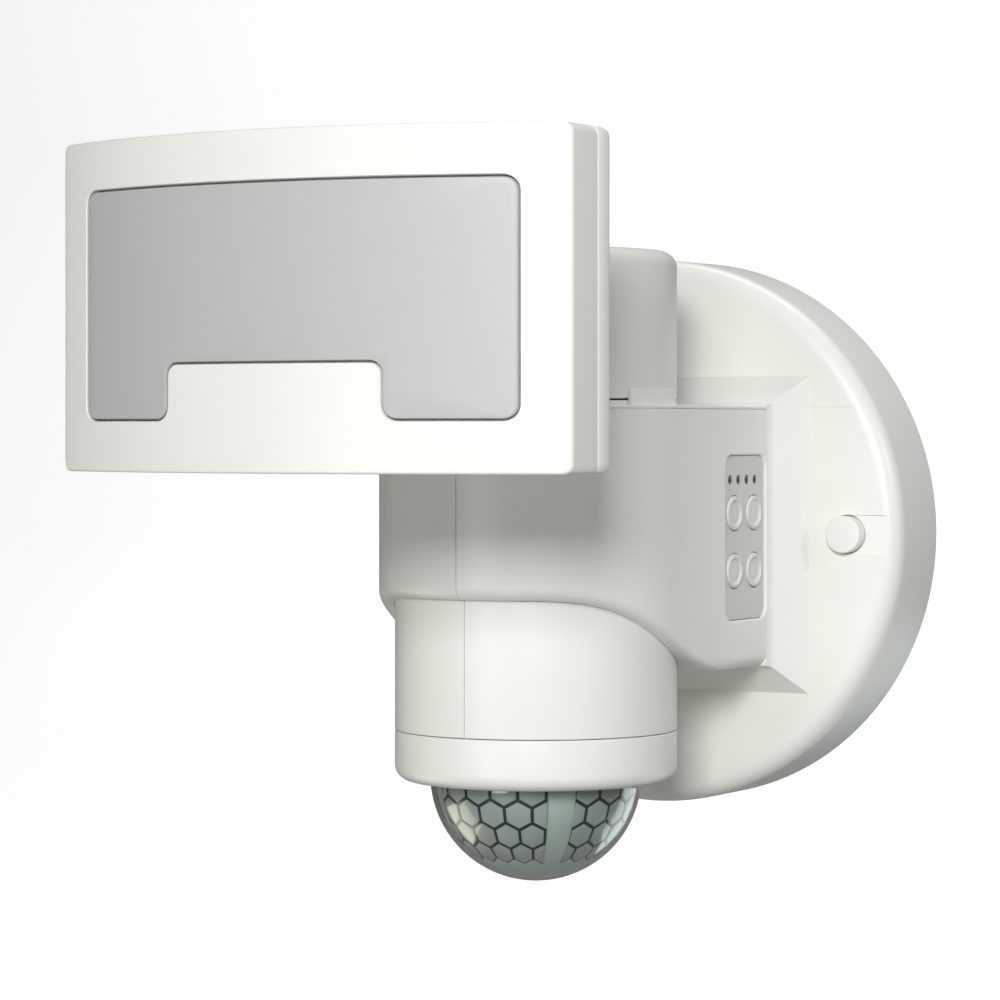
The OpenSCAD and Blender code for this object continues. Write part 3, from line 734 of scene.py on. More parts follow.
WINDOW = Finish(
    "lamp_window_grey", (0.465, 0.465, 0.467), (0.42, 0.42, 0.424), mottle=0.25, rough=0.46,
    spread=0.06, scale=700.0, bump=0.008, worn=(0.5, 0.5, 0.5),
)
REFLECT = Finish(
    "white_reflector", (0.82, 0.82, 0.82), (0.78, 0.78, 0.78), rough=0.2, coat=0.5, bump=0.01
)
LED_BOARD = Finish(
    "led_board", (0.78, 0.79, 0.79), (0.70, 0.71, 0.71), rough=0.4, scale=600.0,
    worn=(0.8, 0.55, 0.3),
)
CHIP = Finish(
    "led_chip", (0.85, 0.62, 0.12), (0.80, 0.52, 0.08), rough=0.3, coat=0.6, scale=3000.0,
    worn=(0.9, 0.8, 0.5),
)
ALUMINIUM = Finish(
    "heatsink_aluminium", (0.68, 0.69, 0.70), (0.58, 0.59, 0.60), rough=0.38, metallic=1.0,
    bump=0.02, worn=(0.82, 0.82, 0.83), strokes=True,
)

SLOT_FINISH: dict[str, Finish] = {
    "white_shell": WHITE,
    "button_plastic": KEY,
    "panel_plastic": PANEL,
    "inner_plastic": INNER,
    "foam_rubber": FOAM,
    "seal_rubber": SEAL,
    "brass": BRASS,
    "screw_steel": ZINC,
    "plated_steel": ZINC,
    "gear_nylon": NYLON,
    "circuit_board": BOARD,
    "dark_parts": DARK,
    "dark_lens": SMOKED,
    "dome_clear": DOME,
    "lens_plain": RIB,
    "lens_cells": CELL,
    "sensor_can": CAN,
    "window_grey": WINDOW,
    "white_reflector": REFLECT,
    "led_board": LED_BOARD,
    "led_chip": CHIP,
    "heatsink": ALUMINIUM,
}


# ---------------------------------------------------------------- layout


def low_mm(node: str) -> Vector:
    """Lowest corner of a node in millimetres.

    Args:
        node: name of the node.

    Returns:
        The lowest x, y and z.
    """
    return Vector(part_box(node)[0]) / MM


def high_mm(node: str) -> Vector:
    """Highest corner of a node in millimetres.

    Args:
        node: name of the node.

    Returns:
        The highest x, y and z.
    """
    return Vector(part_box(node)[1]) / MM


@dataclass
class Layout:
    """Sizes in millimetres that several sub-assemblies share, read from the frame."""

    flange_r: float = field(init=False)
    collar_r: float = field(init=False)
    column_y: float = field(init=False)
    arm_back: float = field(init=False)
    arm_low: float = field(init=False)
    arm_top: float = field(init=False)

    def __post_init__(self) -> None:
        """Reads the shared sizes from the boxes of the nodes."""
        self.flange_r = high_mm("wall_flange").x
        self.arm_back = high_mm("top_cover").y
        self.collar_r = high_mm("top_cover").x
        self.column_y = low_mm("top_cover").y + self.collar_r
        self.arm_low = low_mm("arm_shell_right").z
        self.arm_top = high_mm("arm_shell_right").z + 1.0

    def on_column(self, radius: float, angle: float, height: float) -> Vector:
        """Place for a piece turned about the upright axis, angle 0 along +X.

        Args:
            radius: distance from the axis.
            angle: angle in degrees.
            height: height over the origin.

        Returns:
            The point in the row's frame.
        """
        return Vector(
            (radius * math.cos(angle), self.column_y + radius * math.sin(angle), height)
        )

    def upright(self, x: float, y: float, height: float) -> Vector:
        """Place for an outline drawn from above, y measured from the upright axis.

        Args:
            x: distance across.
            y: distance from the upright axis.
            height: height over the origin.

        Returns:
            The point in the row's frame.
        """
        return Vector((x, self.column_y + y, height))

    @staticmethod
    def off_wall(x: float, z: float, height: float) -> Vector:
        """Place for an outline drawn from the front and raised off the wall.

        Args:
            x: distance across.
            z: height.
            height: distance off the wall.

        Returns:
            The point in the row's frame.
        """
        return Vector((x, -height, z))

    @staticmethod
    def side_on(y: float, z: float, height: float) -> Vector:
        """Place for an outline drawn from the side and raised along +X.

        Args:
            y: distance from the wall.
            z: height.
            height: distance along +X.

        Returns:
            The point in the row's frame.
        """
        return Vector((height, y, z))


def turned_from_wall(x: float, z: float) -> Callable[[float, float, float], Vector]:
    """Place for a piece turned about an axis square to the wall.

    Args:
        x: where the axis is across the wall.
        z: its height.

    Returns:
        The function that places a point.
    """

    def place(radius: float, angle: float, height: float) -> Vector:
        """Puts a radius, an angle and a height off the wall into the row's frame.

        Args:
            radius: distance from the axis.
            angle: angle in degrees.
            height: distance off the wall.

        Returns:
            The point in the row's frame.
        """
        return Vector((x + radius * math.cos(angle), -height, z + radius * math.sin(angle)))

    return place


def turned_sideways(x: float, y: float, z: float) -> Callable[[float, float, float], Vector]:
    """Place for a piece turned about an axis along X.

    Args:
        x: where its height is counted from.
        y: where the axis is along Y.
        z: its height.

    Returns:
        The function that places a point.
    """

    def place(radius: float, angle: float, height: float) -> Vector:
        """Puts a radius, an angle and a reach along X into the row's frame.

        Args:
            radius: distance from the axis.
            angle: angle in degrees.
            height: reach along X.

        Returns:
            The point in the row's frame.
        """
        return Vector((x + height, y + radius * math.cos(angle), z + radius * math.sin(angle)))

    return place


@dataclass
class SubAssembly:
    """Something that builds pieces and hangs them on the bodies."""

    layout: Layout

    def place(
        self,
        piece: bpy.types.Object,
        nodes: Sequence[str],
        body: str,
        slot: str,
        extra: Sequence[Finish] = (),
    ) -> bpy.types.Object:
        """Finishes a piece and lets it stand for its nodes.

        Args:
            piece: the new piece.
            nodes: the nodes that it stands for.
            body: the body that it moves with.
            slot: the material slot of the record.
            extra: finishes for the piece's further slots.

        Returns:
            The piece.
        """
        for finish in (SLOT_FINISH[slot], *extra):
            piece.data.materials.append(finish.material())
        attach(piece, body)
        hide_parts(*nodes)
        LOG.info("piece %s stands for %s", piece.name, ", ".join(nodes))
        return piece


# ---------------------------------------------------------------- wall end


@dataclass
class WallEnd(SubAssembly):
    """The round flange with the sloped root of the arm, and the screw plugs."""

    depth: float = 30.0
    edge: float = 6.0
    wall: float = 2.6
    flare: float = 9.0
    flare_round: float = 5.0
    screw_x: float = 68.5
    plug_r: float = 5.7

    def build(self) -> None:
        """Builds and places every piece of the wall end."""
        self.place(self.flange(), ["wall_flange"], "mount", "white_shell")
        self.place(self.plugs(), ["screw_plugs"], "mount", "white_shell")

    def flange(self) -> bpy.types.Object:
        """The flange: turned shell, sloped root, screw tubes, slots and passage.

        Returns:
            The piece.
        """
        r = self.layout.flange_r
        back = [(r, 0.0, 0.5), (r - self.wall, 0.0, 0.3)]
        profile = rounded_path(
            [
                (0.0, self.depth, 0.0),
                (r, self.depth, self.edge),
                *back,
                (r - self.wall, self.depth - self.wall, self.edge - self.wall),
                (0.0, self.depth - self.wall, 0.0),
            ],
            closed=False,
            steps=12,
        )
        body = Builder.revolve(profile, turned_from_wall(0, 0), "flange_shell", steps=256)
        tubes = [
            Builder.prism(
                arc(side * self.screw_x, 0, 8.0, 0, 354, 59), Layout.off_wall, 1.0,
                self.depth - 1.0, "tube",
            )
            for side in (-1, 1)
        ]
        combine(body, [self.root(), *tubes], Cut.JOIN)
        cutters: list[bpy.types.Object] = []
        reach = self.layout.flange_r - self.screw_x + 2
        for side in (-1, 1):
            x = side * self.screw_x
            cutters.append(
                Builder.prism(arc(x, 0, 2.6, 0, 352.5, 47), Layout.off_wall, -1, 12, "hole")
            )
            cutters.append(
                Builder.prism(
                    arc(x, 0, self.plug_r + 0.25, 0, 354, 59), Layout.off_wall, 9, 40, "counterbore"
                )
            )
            x0, x1 = sorted((x, x + side * reach))
            cutters.append(
                Builder.prism(
                    rectangle(x0 - 0.01, -self.plug_r - 0.25, x1, self.plug_r + 0.25, 0.3),
                    Layout.off_wall, self.depth - 0.6, 40, "slot", edge_low=0.2,
                )
            )
            witness = self.layout.arm_top - 0.45
            x0, x1 = sorted((side * (self.layout.collar_r + self.flare + 0.6), side * (r + 2)))
            cutters.append(
                Builder.prism(
                    [(x0, witness - 0.17), (x1, witness - 0.17), (x1, witness + 0.17), (x0, witness + 0.17)],
                    Layout.off_wall, self.depth - 0.3, 40, "witness line",
                )
            )
        lo, hi = self.layout.arm_low + 2.6, self.layout.arm_top - 3.7
        half = self.layout.collar_r - 2.7
        cutters.append(
            Builder.prism(
                [(-half, lo), (half, lo), (half, hi), (-half, hi)], Layout.off_wall, 18, 60, "passage"
            )
        )
        combine(body, cutters, Cut.AWAY)
        return body

    def root(self) -> bpy.types.Object:
        """The sloped skirt round the root of the arm, a closed ring with mitred corners."""
        rho = self.flare_round
        slope_end = (self.flare + 0.4, self.depth - 0.4)
        top = self.depth + self.flare
        lift = rho * math.tan(math.radians(22.5))
        path = rounded_path(
            [
                (0.02, top + lift + 0.02, 0.0),
                (0.0, top, rho),
                (*slope_end, 0.0),
                (slope_end[0], self.depth - 1.6, 0.0),
                (-1.5, self.depth - 1.6, 0.0),
                (-1.5, top + lift - 0.3, 0.0),
            ],
            closed=False,
            steps=10,
        )
        half = self.layout.collar_r
        lo, hi = self.layout.arm_low, self.layout.arm_top + 0.3
        loops = [
            [
                Vector((sx * (half + d), -h, (hi + d) if sz > 0 else (lo - d)))
                for sx, sz in ((-1, -1), (1, -1), (1, 1), (-1, 1))
            ]
            for d, h in path
        ]
        return Builder.skin(loops, "root", wrap=True, caps=False)

    def plugs(self) -> bpy.types.Object:
        """Two round plugs with a rounded rim and a stem, as one piece."""
        front = self.depth + 3.5
        profile = rounded_path(
            [
                (0.0, self.depth - 8, 0.0),
                (self.plug_r - 0.9, self.depth - 8, 0.3),
                (self.plug_r, self.depth - 6, 0.6),
                (self.plug_r, front, 0.55),
                (0.0, front, 0.0),
            ],
            closed=False,
            steps=5,
        )
        pair = [
            Builder.revolve(profile, turned_from_wall(side * self.screw_x, 0), "plug", steps=72)
            for side in (-1, 1)
        ]
        return join(pair, "round_screw_plugs")


# ---------------------------------------------------------------- arm


@dataclass
class Arm(SubAssembly):
    """The two arm shells with their sweeping underside, and the cover on top."""

    wall: float = 2.6
    collar_low: float = -17.0
    rim: float = 4.0
    sleeve_hole: float = 42.15
    sweep_front: float = -42.0
    sweep_back: float = 36.0
    parting: float = 0.11
    seam_y: tuple[float, float] = (41.5, 68.9)
    keypad_z: tuple[float, float] = (-25.5, 24.3)
    plinth_r: float = 42.0
    lip_centre: float = 84.0
    lip_span: float = 31.0
    post_r: float = 4.8
    post_seat: float = -12.0
    post_spots: tuple[Point, ...] = ((-112.0, 14.0), (-54.0, -30.0), (-49.0, 27.0))

    def build(self) -> None:
        """Builds and places the shells and the cover."""
        self.place(self.left_shell(), ["arm_shell_left"], "mount", "white_shell")
        self.place(self.right_shell(), ["arm_shell_right"], "mount", "white_shell")
        self.place(self.cover(), ["top_cover"], "mount", "white_shell")

    def underside(self, y: float) -> float:
        """Height of the underside at a distance behind the upright axis.

        Args:
            y: distance behind the axis.

        Returns:
            The height of the underside.
        """
        share = (y - self.sweep_front) / (self.sweep_back - self.sweep_front)
        share = min(1.0, max(0.0, share))
        drop = self.collar_low - self.layout.arm_low
        return self.collar_low - drop * (0.5 - 0.5 * math.cos(math.pi * share))

    def stations(self, side: int) -> list[tuple[Vector, Vector, float]]:
        """Stops along the outer wall of one shell, from the front parting line to the wall end.

        Args:
            side: 1 for the right shell, -1 for the left.

        Returns:
            For each stop the outer point, the inward direction, and the reach of the floor.
        """
        r = self.layout.collar_r
        stops: list[tuple[Vector, Vector, float]] = []
        first = math.degrees(math.asin(self.parting / r))
        for k in range(49):
            a = math.radians(first + (90 - first) * k / 48)
            out = Vector((side * math.sin(a), -math.cos(a)))
            stops.append((out * r, -out, r - self.sleeve_hole))
        inward = Vector((-side, 0.0))
        for k in range(1, 25):
            a = math.radians(90 * k / 24)
            y = self.sleeve_hole * math.sin(a)
            reach = r - max(self.sleeve_hole * math.cos(a), self.parting)
            stops.append((Vector((side * r, y)), inward, reach))
        end = self.layout.arm_back - self.layout.column_y + 1.0
        for k in range(1, 9):
            y = self.sleeve_hole + (end - self.sleeve_hole) * k / 8
            stops.append((Vector((side * r, y)), inward, r - self.parting))
        return stops

    def shell(self, side: int, name: str) -> bpy.types.Object:
        """One shell as a closed section swept along the outer wall.

        Args:
            side: 1 for the right shell, -1 for the left.
            name: name of the piece.

        Returns:
            The shell.
        """
        top = self.layout.arm_top - 1.0
        loops: list[Loop] = []
        for point, inward, reach in self.stations(side):
            low = self.underside(point.y)
            rim = self.rim
            section: list[Point] = [(0.0, top - 0.35), (0.0, low + rim)]
            section += [
                (rim * (1 - math.cos(a)), low + rim * (1 - math.sin(a)))
                for a in (math.radians(11.25 * k) for k in range(1, 9))
            ]
            section += [
                (max(reach, rim + 0.1), low),
                (max(reach, rim + 0.1), low + self.wall),
                (max(self.wall, rim * 0.7), low + self.wall),
                (self.wall, low + self.wall + 1.4),
                (self.wall, top),
                (0.35, top),
            ]
            loops.append(
                [
                    Vector(
                        (
                            point.x + inward.x * d,
                            self.layout.column_y + point.y + inward.y * d,
                            height,
                        )
                    )
                    for d, height in section
                ]
            )
        return Builder.skin(loops, name)

    def posts(self, side: int) -> list[bpy.types.Object]:
        """Round posts that run from the outer wall of one shell to the parting line.

        Args:
            side: 1 for the right shell, -1 for the left.

        Returns:
            One solid for each post.
        """
        made: list[bpy.types.Object] = []
        for y, z in self.post_spots:
            ahead = min(0.0, y - self.layout.column_y - self.post_r)
            reach = math.sqrt(self.layout.collar_r**2 - ahead**2) - 0.8
            x0, x1 = sorted((side * self.parting, side * reach))
            made.append(Builder.prism(arc(y, z, self.post_r, 0, 352.5, 47), Layout.side_on, x0, x1, "post"))
        return made

    def bores(self, radius: float, x0: float, x1: float) -> list[bpy.types.Object]:
        """Round holes along X at every post.

        Args:
            radius: radius of the holes.
            x0: where they start.
            x1: where they end.

        Returns:
            One solid for each hole.
        """
        return [
            Builder.prism(arc(y, z, radius, 0, 352.5, 47), Layout.side_on, x0, x1, "bore")
            for y, z in self.post_spots
        ]

    def left_shell(self) -> bpy.types.Object:
        """The left shell, with posts and deep screw holes."""
        piece = self.shell(-1, "left_arm_shell")
        combine(piece, self.posts(-1), Cut.JOIN)
        wide = self.bores(3.2, -self.layout.collar_r - 4, self.post_seat)
        combine(piece, [*wide, *self.bores(1.6, self.post_seat - 2, 4)], Cut.AWAY)
        return piece

    def right_shell(self) -> bpy.types.Object:
        """The right shell, with its posts and the round-cornered opening for the keypad."""
        piece = self.shell(1, "right_arm_shell")
        combine(piece, self.posts(1), Cut.JOIN)
        y0, y1 = -self.seam_y[1], -self.seam_y[0]
        z0, z1 = self.keypad_z
        face = self.layout.collar_r
        pocket = Builder.prism(
            [(-73, -29), (-38.5, -29), (-38.5, 28.5), (-73, 28.5)], Layout.side_on, 30, face - self.wall,
            "pocket",
        )
        opening = Builder.prism(rectangle(y0, z0, y1, z1, 4.0), Layout.side_on, face - 8, face + 4, "opening")
        flare = Builder.prism(
            rectangle(y0 - 0.45, z0 - 0.45, y1 + 0.45, z1 + 0.45, 4.4), Layout.side_on,
            face - 0.45, face + 4, "rim", edge_low=0.44,
        )
        combine(piece, [pocket, opening, flare, *self.bores(1.6, -4, 15)], Cut.AWAY)
        return piece

    def plan(self, inset: float) -> list[Point]:
        """Outline of the arm from above, anticlockwise, y from the upright axis.

        Args:
            inset: how far the outline is drawn in.

        Returns:
            The points of the outline.
        """
        r = self.layout.collar_r - inset
        end = self.layout.arm_back - self.layout.column_y
        return [(r, end - 0.01), (-r, end - 0.01), *arc(0, 0, r, 180, 360, 96)]

    def cover(self) -> bpy.types.Object:
        """The lid with its plinth and the two lips that wrap the foot of the head."""
        top = self.layout.arm_top
        place = self.layout.upright
        lid = Builder.prism(self.plan(0), place, top - 0.93, top, "lid", edge=0.3, edge_low=0.12)
        plug = Builder.prism(self.plan(self.wall + 0.1), place, top - 2.6, top - 0.5, "plug")
        plinth = Builder.prism(
            arc(0, 0, self.plinth_r, 0, 357.5, 143), place, top - 0.5, top + 1.3, "plinth", edge=0.3
        )
        boss = Builder.prism(arc(0, 0, 13.5, 0, 355, 71), place, 35, top - 0.5, "boss")
        combine(lid, [plug, plinth, boss], Cut.JOIN)
        bore = Builder.prism(arc(0, 0, 10.6, 0, 355, 71), place, 20, 60, "bore")
        seat = Builder.prism(arc(0, 0, 14.1, 0, 355, 71), place, top + 0.2, 60, "seat")
        combine(lid, [bore, seat], Cut.AWAY)
        lips = [self.lip(side) for side in (-1, 1)]
        return join([lid, *lips], "arm_top_cover")

    def lip(self, side: int) -> bpy.types.Object:
        """One lip: a curved tongue with rounded ends and rims.

        Args:
            side: 1 for the right lip, -1 for the left.

        Returns:
            The finished lip.
        """
        inner, outer = self.plinth_r + 0.35, self.plinth_r + 1.6
        low, high = self.layout.arm_top - 0.3, high_mm("top_cover").z
        half = self.lip_span / 2
        loops: list[Loop] = []
        for k in range(33):
            share = -1 + 2 * k / 32
            rest = abs(share) * half
            drop = max(0.0, rest - (half - 1.5)) / 1.5
            top = high - 1.0 * (1 - math.sqrt(max(0.0, 1 - drop * drop)))
            a = math.radians(side * self.lip_centre - 90 + share * half)
            section = [
                (inner, low), (outer, low), (outer, top - 0.35), (outer - 0.1, top - 0.1),
                (outer - 0.35, top), (inner + 0.15, top), (inner, top - 0.15),
            ]
            loops.append([self.layout.on_column(r, a, z) for r, z in section])
        return Builder.skin(loops, "lip")


# ---------------------------------------------------------------- keypad


@dataclass
class Keypad(SubAssembly):
    """The keypad plate, its four push buttons and the status lamps."""

    button_y: tuple[float, float] = (-61.7, -48.4)
    button_z: tuple[float, float] = (6.8, -10.6)
    lamp_y: float = -64.4
    lamp_pitch: float = 5.6
    lamp_z: float = 16.9
    hole_r: float = 5.5

    def build(self) -> None:
        """Builds and places the plate, the buttons and the lamps."""
        self.place(self.plate(), ["control_plate"], "mount", "panel_plastic")
        self.place(self.lamps(), ["status_leds"], "mount", "dark_lens")
        number = 0
        for z in self.button_z:
            for y in self.button_y:
                number += 1
                piece = self.button(y, z, f"push_button_{number}")
                self.place(piece, [f"button_{number}"], f"button_{number}", "button_plastic")

    def plate(self) -> bpy.types.Object:
        """The plate: a raised face on a wider back, with round holes."""
        high = high_mm("control_plate")
        low = low_mm("control_plate")
        y0, y1 = low.y + 2.15, high.y - 2.15
        z0, z1 = low.z + 2.15, high.z - 2.15
        piece = Builder.prism(
            rectangle(y0, z0, y1, z1, 3.85), Layout.side_on, high.x - 2.0, high.x, "keypad_plate", edge=0.25
        )
        back = Builder.prism(
            rectangle(low.y, low.z, high.y, high.z, 6.0), Layout.side_on, low.x, low.x + 1.35, "back"
        )
        combine(piece, [back], Cut.JOIN)
        holes = [
            Builder.prism(
                arc(y, z, self.hole_r, 0, 355, 71), Layout.side_on, low.x - 2, high.x + 2, "hole"
            )
            for y in self.button_y
            for z in self.button_z
        ]
        holes += [
            Builder.prism(
                arc(self.lamp_y + i * self.lamp_pitch, self.lamp_z, 1.5, 0, 345, 23),
                Layout.side_on, low.x - 2, high.x + 2, "lamp hole",
            )
            for i in range(4)
        ]
        combine(piece, holes, Cut.AWAY)
        return piece

    def button(self, y: float, z: float, name: str) -> bpy.types.Object:
        """One button: stem, flange, and a cap with a soft rim and a dished face.

        Args:
            y: where its middle is along Y.
            z: its height.
            name: name of the piece.

        Returns:
            The button.
        """
        face = high_mm("button_1").x
        profile = rounded_path(
            [
                (0.0, face - 6.7, 0.0),
                (2.0, face - 6.7, 0.2),
                (2.0, face - 5.7, 0.0),
                (6.1, face - 5.7, 0.3),
                (6.1, face - 4.4, 0.3),
                (5.2, face - 4.4, 0.0),
                (5.2, face - 0.25, 0.5),
                (4.1, face - 0.05, 0.35),
                (3.3, face - 0.75, 0.5),
                (1.6, face - 0.55, 0.4),
                (0.0, face - 0.5, 0.0),
            ],
            closed=False,
            steps=5,
        )
        return Builder.revolve(profile, turned_sideways(0, y, z), name, steps=64)

    def lamps(self) -> bpy.types.Object:
        """Four small domed lamps in a row, as one piece."""
        back = low_mm("status_leds").x
        tip = high_mm("status_leds").x
        profile = [(0.0, back), (1.4, back), (1.4, tip - 0.5), *arc(0, tip - 1.35, 1.4, 37, 90, 6)]
        profile = [(r, min(h, tip)) for r, h in profile]
        beads = [
            Builder.revolve(
                profile, turned_sideways(0, self.lamp_y + i * self.lamp_pitch, self.lamp_z), "bead", 32
            )
            for i in range(4)
        ]
        return join(beads, "status_lamps")


# ---------------------------------------------------------------- sensor


@dataclass
class Sensor(SubAssembly):
    """The round sleeve, its ring, the clear dome and the celled lens sheets inside."""

    wall: float = 2.6
    dome_r: float = 31.5
    dome_wall: float = 0.9
    lens_r: float = 30.3
    lens_t: float = 1.0
    cell_pitch: float = 16.0
    row_pitch: float = 13.3
    first_row: float = -4.5
    phase: float = 3.3
    line: float = 1.05
    centre_z: float = field(init=False)

    def __post_init__(self) -> None:
        """Reads the height of the middle of the dome."""
        self.centre_z = low_mm("dome_cover").z + self.dome_r

    def build(self) -> None:
        """Builds and places every piece of the sensor."""
        for side, node in ((-1, "sleeve_left"), (1, "sleeve_right")):
            self.place(self.sleeve(side), [node], "mount", "white_shell")
        self.place(self.ring(), ["sensor_ring"], "mount", "white_shell")
        self.place(self.dome(), ["dome_cover"], "mount", "dome_clear")
        self.place(self.frame_piece(), ["lens_frame"], "mount", "lens_plain")
        for node, start, span in (
            ("lens_front", -36.0, 72.0),
            ("lens_left", -132.0, 80.0),
            ("lens_right", 52.0, 80.0),
        ):
            self.place(self.cells(node, start, span), [node], "mount", "lens_cells", [CELL_EDGE])

    def sleeve(self, side: int) -> bpy.types.Object:
        """One half of the sleeve, with a lip at the top and a spigot at the foot.

        Args:
            side: 1 for the right half, -1 for the left.

        Returns:
            The half.
        """
        top = high_mm("sleeve_right").z
        foot = low_mm("sensor_ring").z + 14.9 + 0.22
        low = low_mm("sleeve_right").z
        r = high_mm("sensor_ring").x
        inner = r - self.wall
        profile = rounded_path(
            [
                (r, foot, 0.35), (r, top - 2.2, 0.0), (r + 1.9, top - 2.2, 0.2),
                (r + 1.9, top, 0.2), (inner - 0.3, top, 0.2), (inner - 2.0, foot + 3.0, 0.0),
                (inner - 2.0, low, 0.2), (inner - 0.1, low, 0.3), (inner - 0.1, foot, 0.0),
            ],
            steps=4,
        )
        gap = math.degrees(math.asin(0.11 / r))
        start = (-90 if side > 0 else 90) + gap
        return Builder.revolve(
            profile, self.layout.on_column, "sleeve_half_right" if side > 0 else "sleeve_half_left",
            steps=96, start=start, span=180 - 2 * gap,
        )

    def ring(self) -> bpy.types.Object:
        """The retaining ring with its rounded lower edge."""
        low, high = low_mm("sensor_ring").z, high_mm("sensor_ring").z
        r = high_mm("sensor_ring").x
        inner = r - self.wall
        mouth = self.dome_r + 0.3
        profile = rounded_path(
            [
                (r, high, 0.4), (inner, high, 0.2), (inner, low + self.wall, 1.5),
                (mouth, low + self.wall, 0.2), (mouth, low, 0.5), (r, low, 4.6),
            ],
            steps=10,
        )
        return Builder.revolve(profile, self.layout.on_column, "retaining_ring", steps=192)

    def dome(self) -> bpy.types.Object:
        """The clear dome: an even shell with a straight collar and a flange."""
        outer, inner = self.dome_r, self.dome_r - self.dome_wall
        z = self.centre_z
        seat = low_mm("sensor_ring").z + self.wall + 0.1
        profile = [
            *[(r, z + h) for r, h in arc(0, 0, outer, -90, 0, 40)],
            (outer, seat), (outer + 3.5, seat), (outer + 3.5, seat + 1.6), (outer, seat + 1.6),
            (outer, z + 5), (inner, z + 5),
            *[(r, z + h) for r, h in arc(0, 0, inner, 0, -90, 40)],
        ]
        return Builder.revolve(profile, self.layout.on_column, "clear_dome", steps=160)

    def on_dome(self, across: float, up: float, radius: float) -> Vector:
        """Point on a sphere about the middle of the dome.

        Args:
            across: angle from the front towards +X, in degrees.
            up: elevation in degrees.
            radius: radius of the sphere.

        Returns:
            The point.
        """
        a, e = math.radians(across), math.radians(up)
        flat = radius * math.cos(e)
        return Vector(
            (
                flat * math.sin(a),
                self.layout.column_y - flat * math.cos(a),
                self.centre_z + radius * math.sin(e),
            )
        )

    def frame_piece(self) -> bpy.types.Object:
        """The even pale shell that carries the lens sheets, with its upright rim."""
        outer, inner = self.lens_r - 0.35, self.lens_r - self.lens_t - 0.35
        z = self.centre_z
        profile = [
            *[(r, z + h) for r, h in arc(0, 0, outer, -90, 0, 36)],
            (outer, z + 3), (inner, z + 3),
            *[(r, z + h) for r, h in arc(0, 0, inner, 0, -90, 36)],
        ]
        return Builder.revolve(profile, self.layout.on_column, "lens_carrier", steps=160)

    def cells(self, node: str, start: float, span: float) -> bpy.types.Object:
        """A sheet of six-sided lens cells, each a low pillow inside a dark outline.

        Args:
            node: the node that the sheet stands for.
            start: first angle from the front, in degrees.
            span: how far round the sheet goes.

        Returns:
            The sheet, with slot 0 for the cells and slot 1 for their outlines.
        """
        mesh = bmesh.new()
        half, tall = self.cell_pitch / 2, self.row_pitch / 1.5
        left = [(0, tall), (-half, tall / 2), (-half, -tall / 2)]
        shape = left + [(0, -tall), (half, -tall / 2), (half, tall / 2)]
        inner = 1 - self.line / (self.lens_r * math.radians(self.cell_pitch))
        base, face = self.lens_r - 0.55, self.lens_r - 0.06
        for row in range(4):
            up = self.first_row - row * self.row_pitch
            shift = self.phase + (half if row % 2 == 0 else 0.0)
            first = math.floor((start - shift) / self.cell_pitch) - 1
            for k in range(first, first + int(span / self.cell_pitch) + 5):
                across = shift + k * self.cell_pitch
                for scale, heights, tone in (
                    (0.999, ((1, base), (1, face)), 1),
                    (inner, ((1, base + 0.1), (1, face + 0.05), (0.97, face + 0.1), (0.8, face + 0.17)), 0),
                ):
                    grown = [(across + x * scale, up + y * scale) for x, y in shape]
                    outline = clip(grown, start, start + span, -1.0)
                    if len(outline) >= 3 and area(outline) > 4:
                        self.slab(mesh, outline, heights, tone)
        return Builder.finish_mesh(mesh, node.replace("lens_", "cell_sheet_"), sharp=60)

    def slab(
        self, mesh: bmesh.types.BMesh, outline: list[Point], layers: Sequence[Point], tone: int
    ) -> None:
        """Adds one closed slab that follows the sphere, its top slightly crowned.

        Args:
            mesh: the mesh that takes the slab.
            outline: (across, up) corners in degrees.
            layers: (share of the outline, radius of the sphere) from the back to the front.
            tone: material slot of its faces.
        """
        across = sum(p[0] for p in outline) / len(outline)
        up = sum(p[1] for p in outline) / len(outline)
        fine: list[Point] = []
        for i, (x, y) in enumerate(outline):
            nx, ny = outline[(i + 1) % len(outline)]
            fine += [(x + (nx - x) * t / 4, y + (ny - y) * t / 4) for t in range(4)]
        rows = [
            [
                mesh.verts.new(self.on_dome(across + (x - across) * s, up + (y - up) * s, r))
                for x, y in fine
            ]
            for s, r in layers
        ]
        foot = mesh.verts.new(self.on_dome(across, up, layers[0][1]))
        crown = mesh.verts.new(self.on_dome(across, up, layers[-1][1] + 0.02))
        count = len(fine)
        for k in range(count):
            n = (k + 1) % count
            for low, high in zip(rows, rows[1:]):
                mesh.faces.new((low[k], low[n], high[n], high[k])).material_index = tone
            mesh.faces.new((rows[0][n], rows[0][k], foot)).material_index = tone
            mesh.faces.new((rows[-1][k], rows[-1][n], crown)).material_index = tone


def area(outline: Sequence[Point]) -> float:
    """Area of an outline, whichever way it runs.

    Args:
        outline: the corner points in order.

    Returns:
        The area, never negative.
    """
    total = sum(
        x * outline[(i + 1) % len(outline)][1] - outline[(i + 1) % len(outline)][0] * y
        for i, (x, y) in enumerate(outline)
    )
    return abs(total) / 2


def clip(outline: Sequence[Point], left: float, right: float, top: float) -> list[Point]:
    """Cuts an outline to a band between two sides and under a top line.

    Args:
        outline: the closed outline.
        left: lowest first coordinate kept.
        right: highest first coordinate kept.
        top: highest second coordinate kept.

    Returns:
        What is left of the outline.
    """
    kept = list(outline)
    for axis, limit, sign in ((0, left, 1.0), (0, right, -1.0), (1, top, -1.0)):
        source, kept = kept, []
        for i, here in enumerate(source):
            before = source[i - 1]
            inside = sign * (here[axis] - limit) >= 0
            was_inside = sign * (before[axis] - limit) >= 0
            if inside != was_inside:
                share = (limit - before[axis]) / (here[axis] - before[axis])
                kept.append(
                    (before[0] + (here[0] - before[0]) * share, before[1] + (here[1] - before[1]) * share)
                )
            if inside:
                kept.append(here)
    return kept


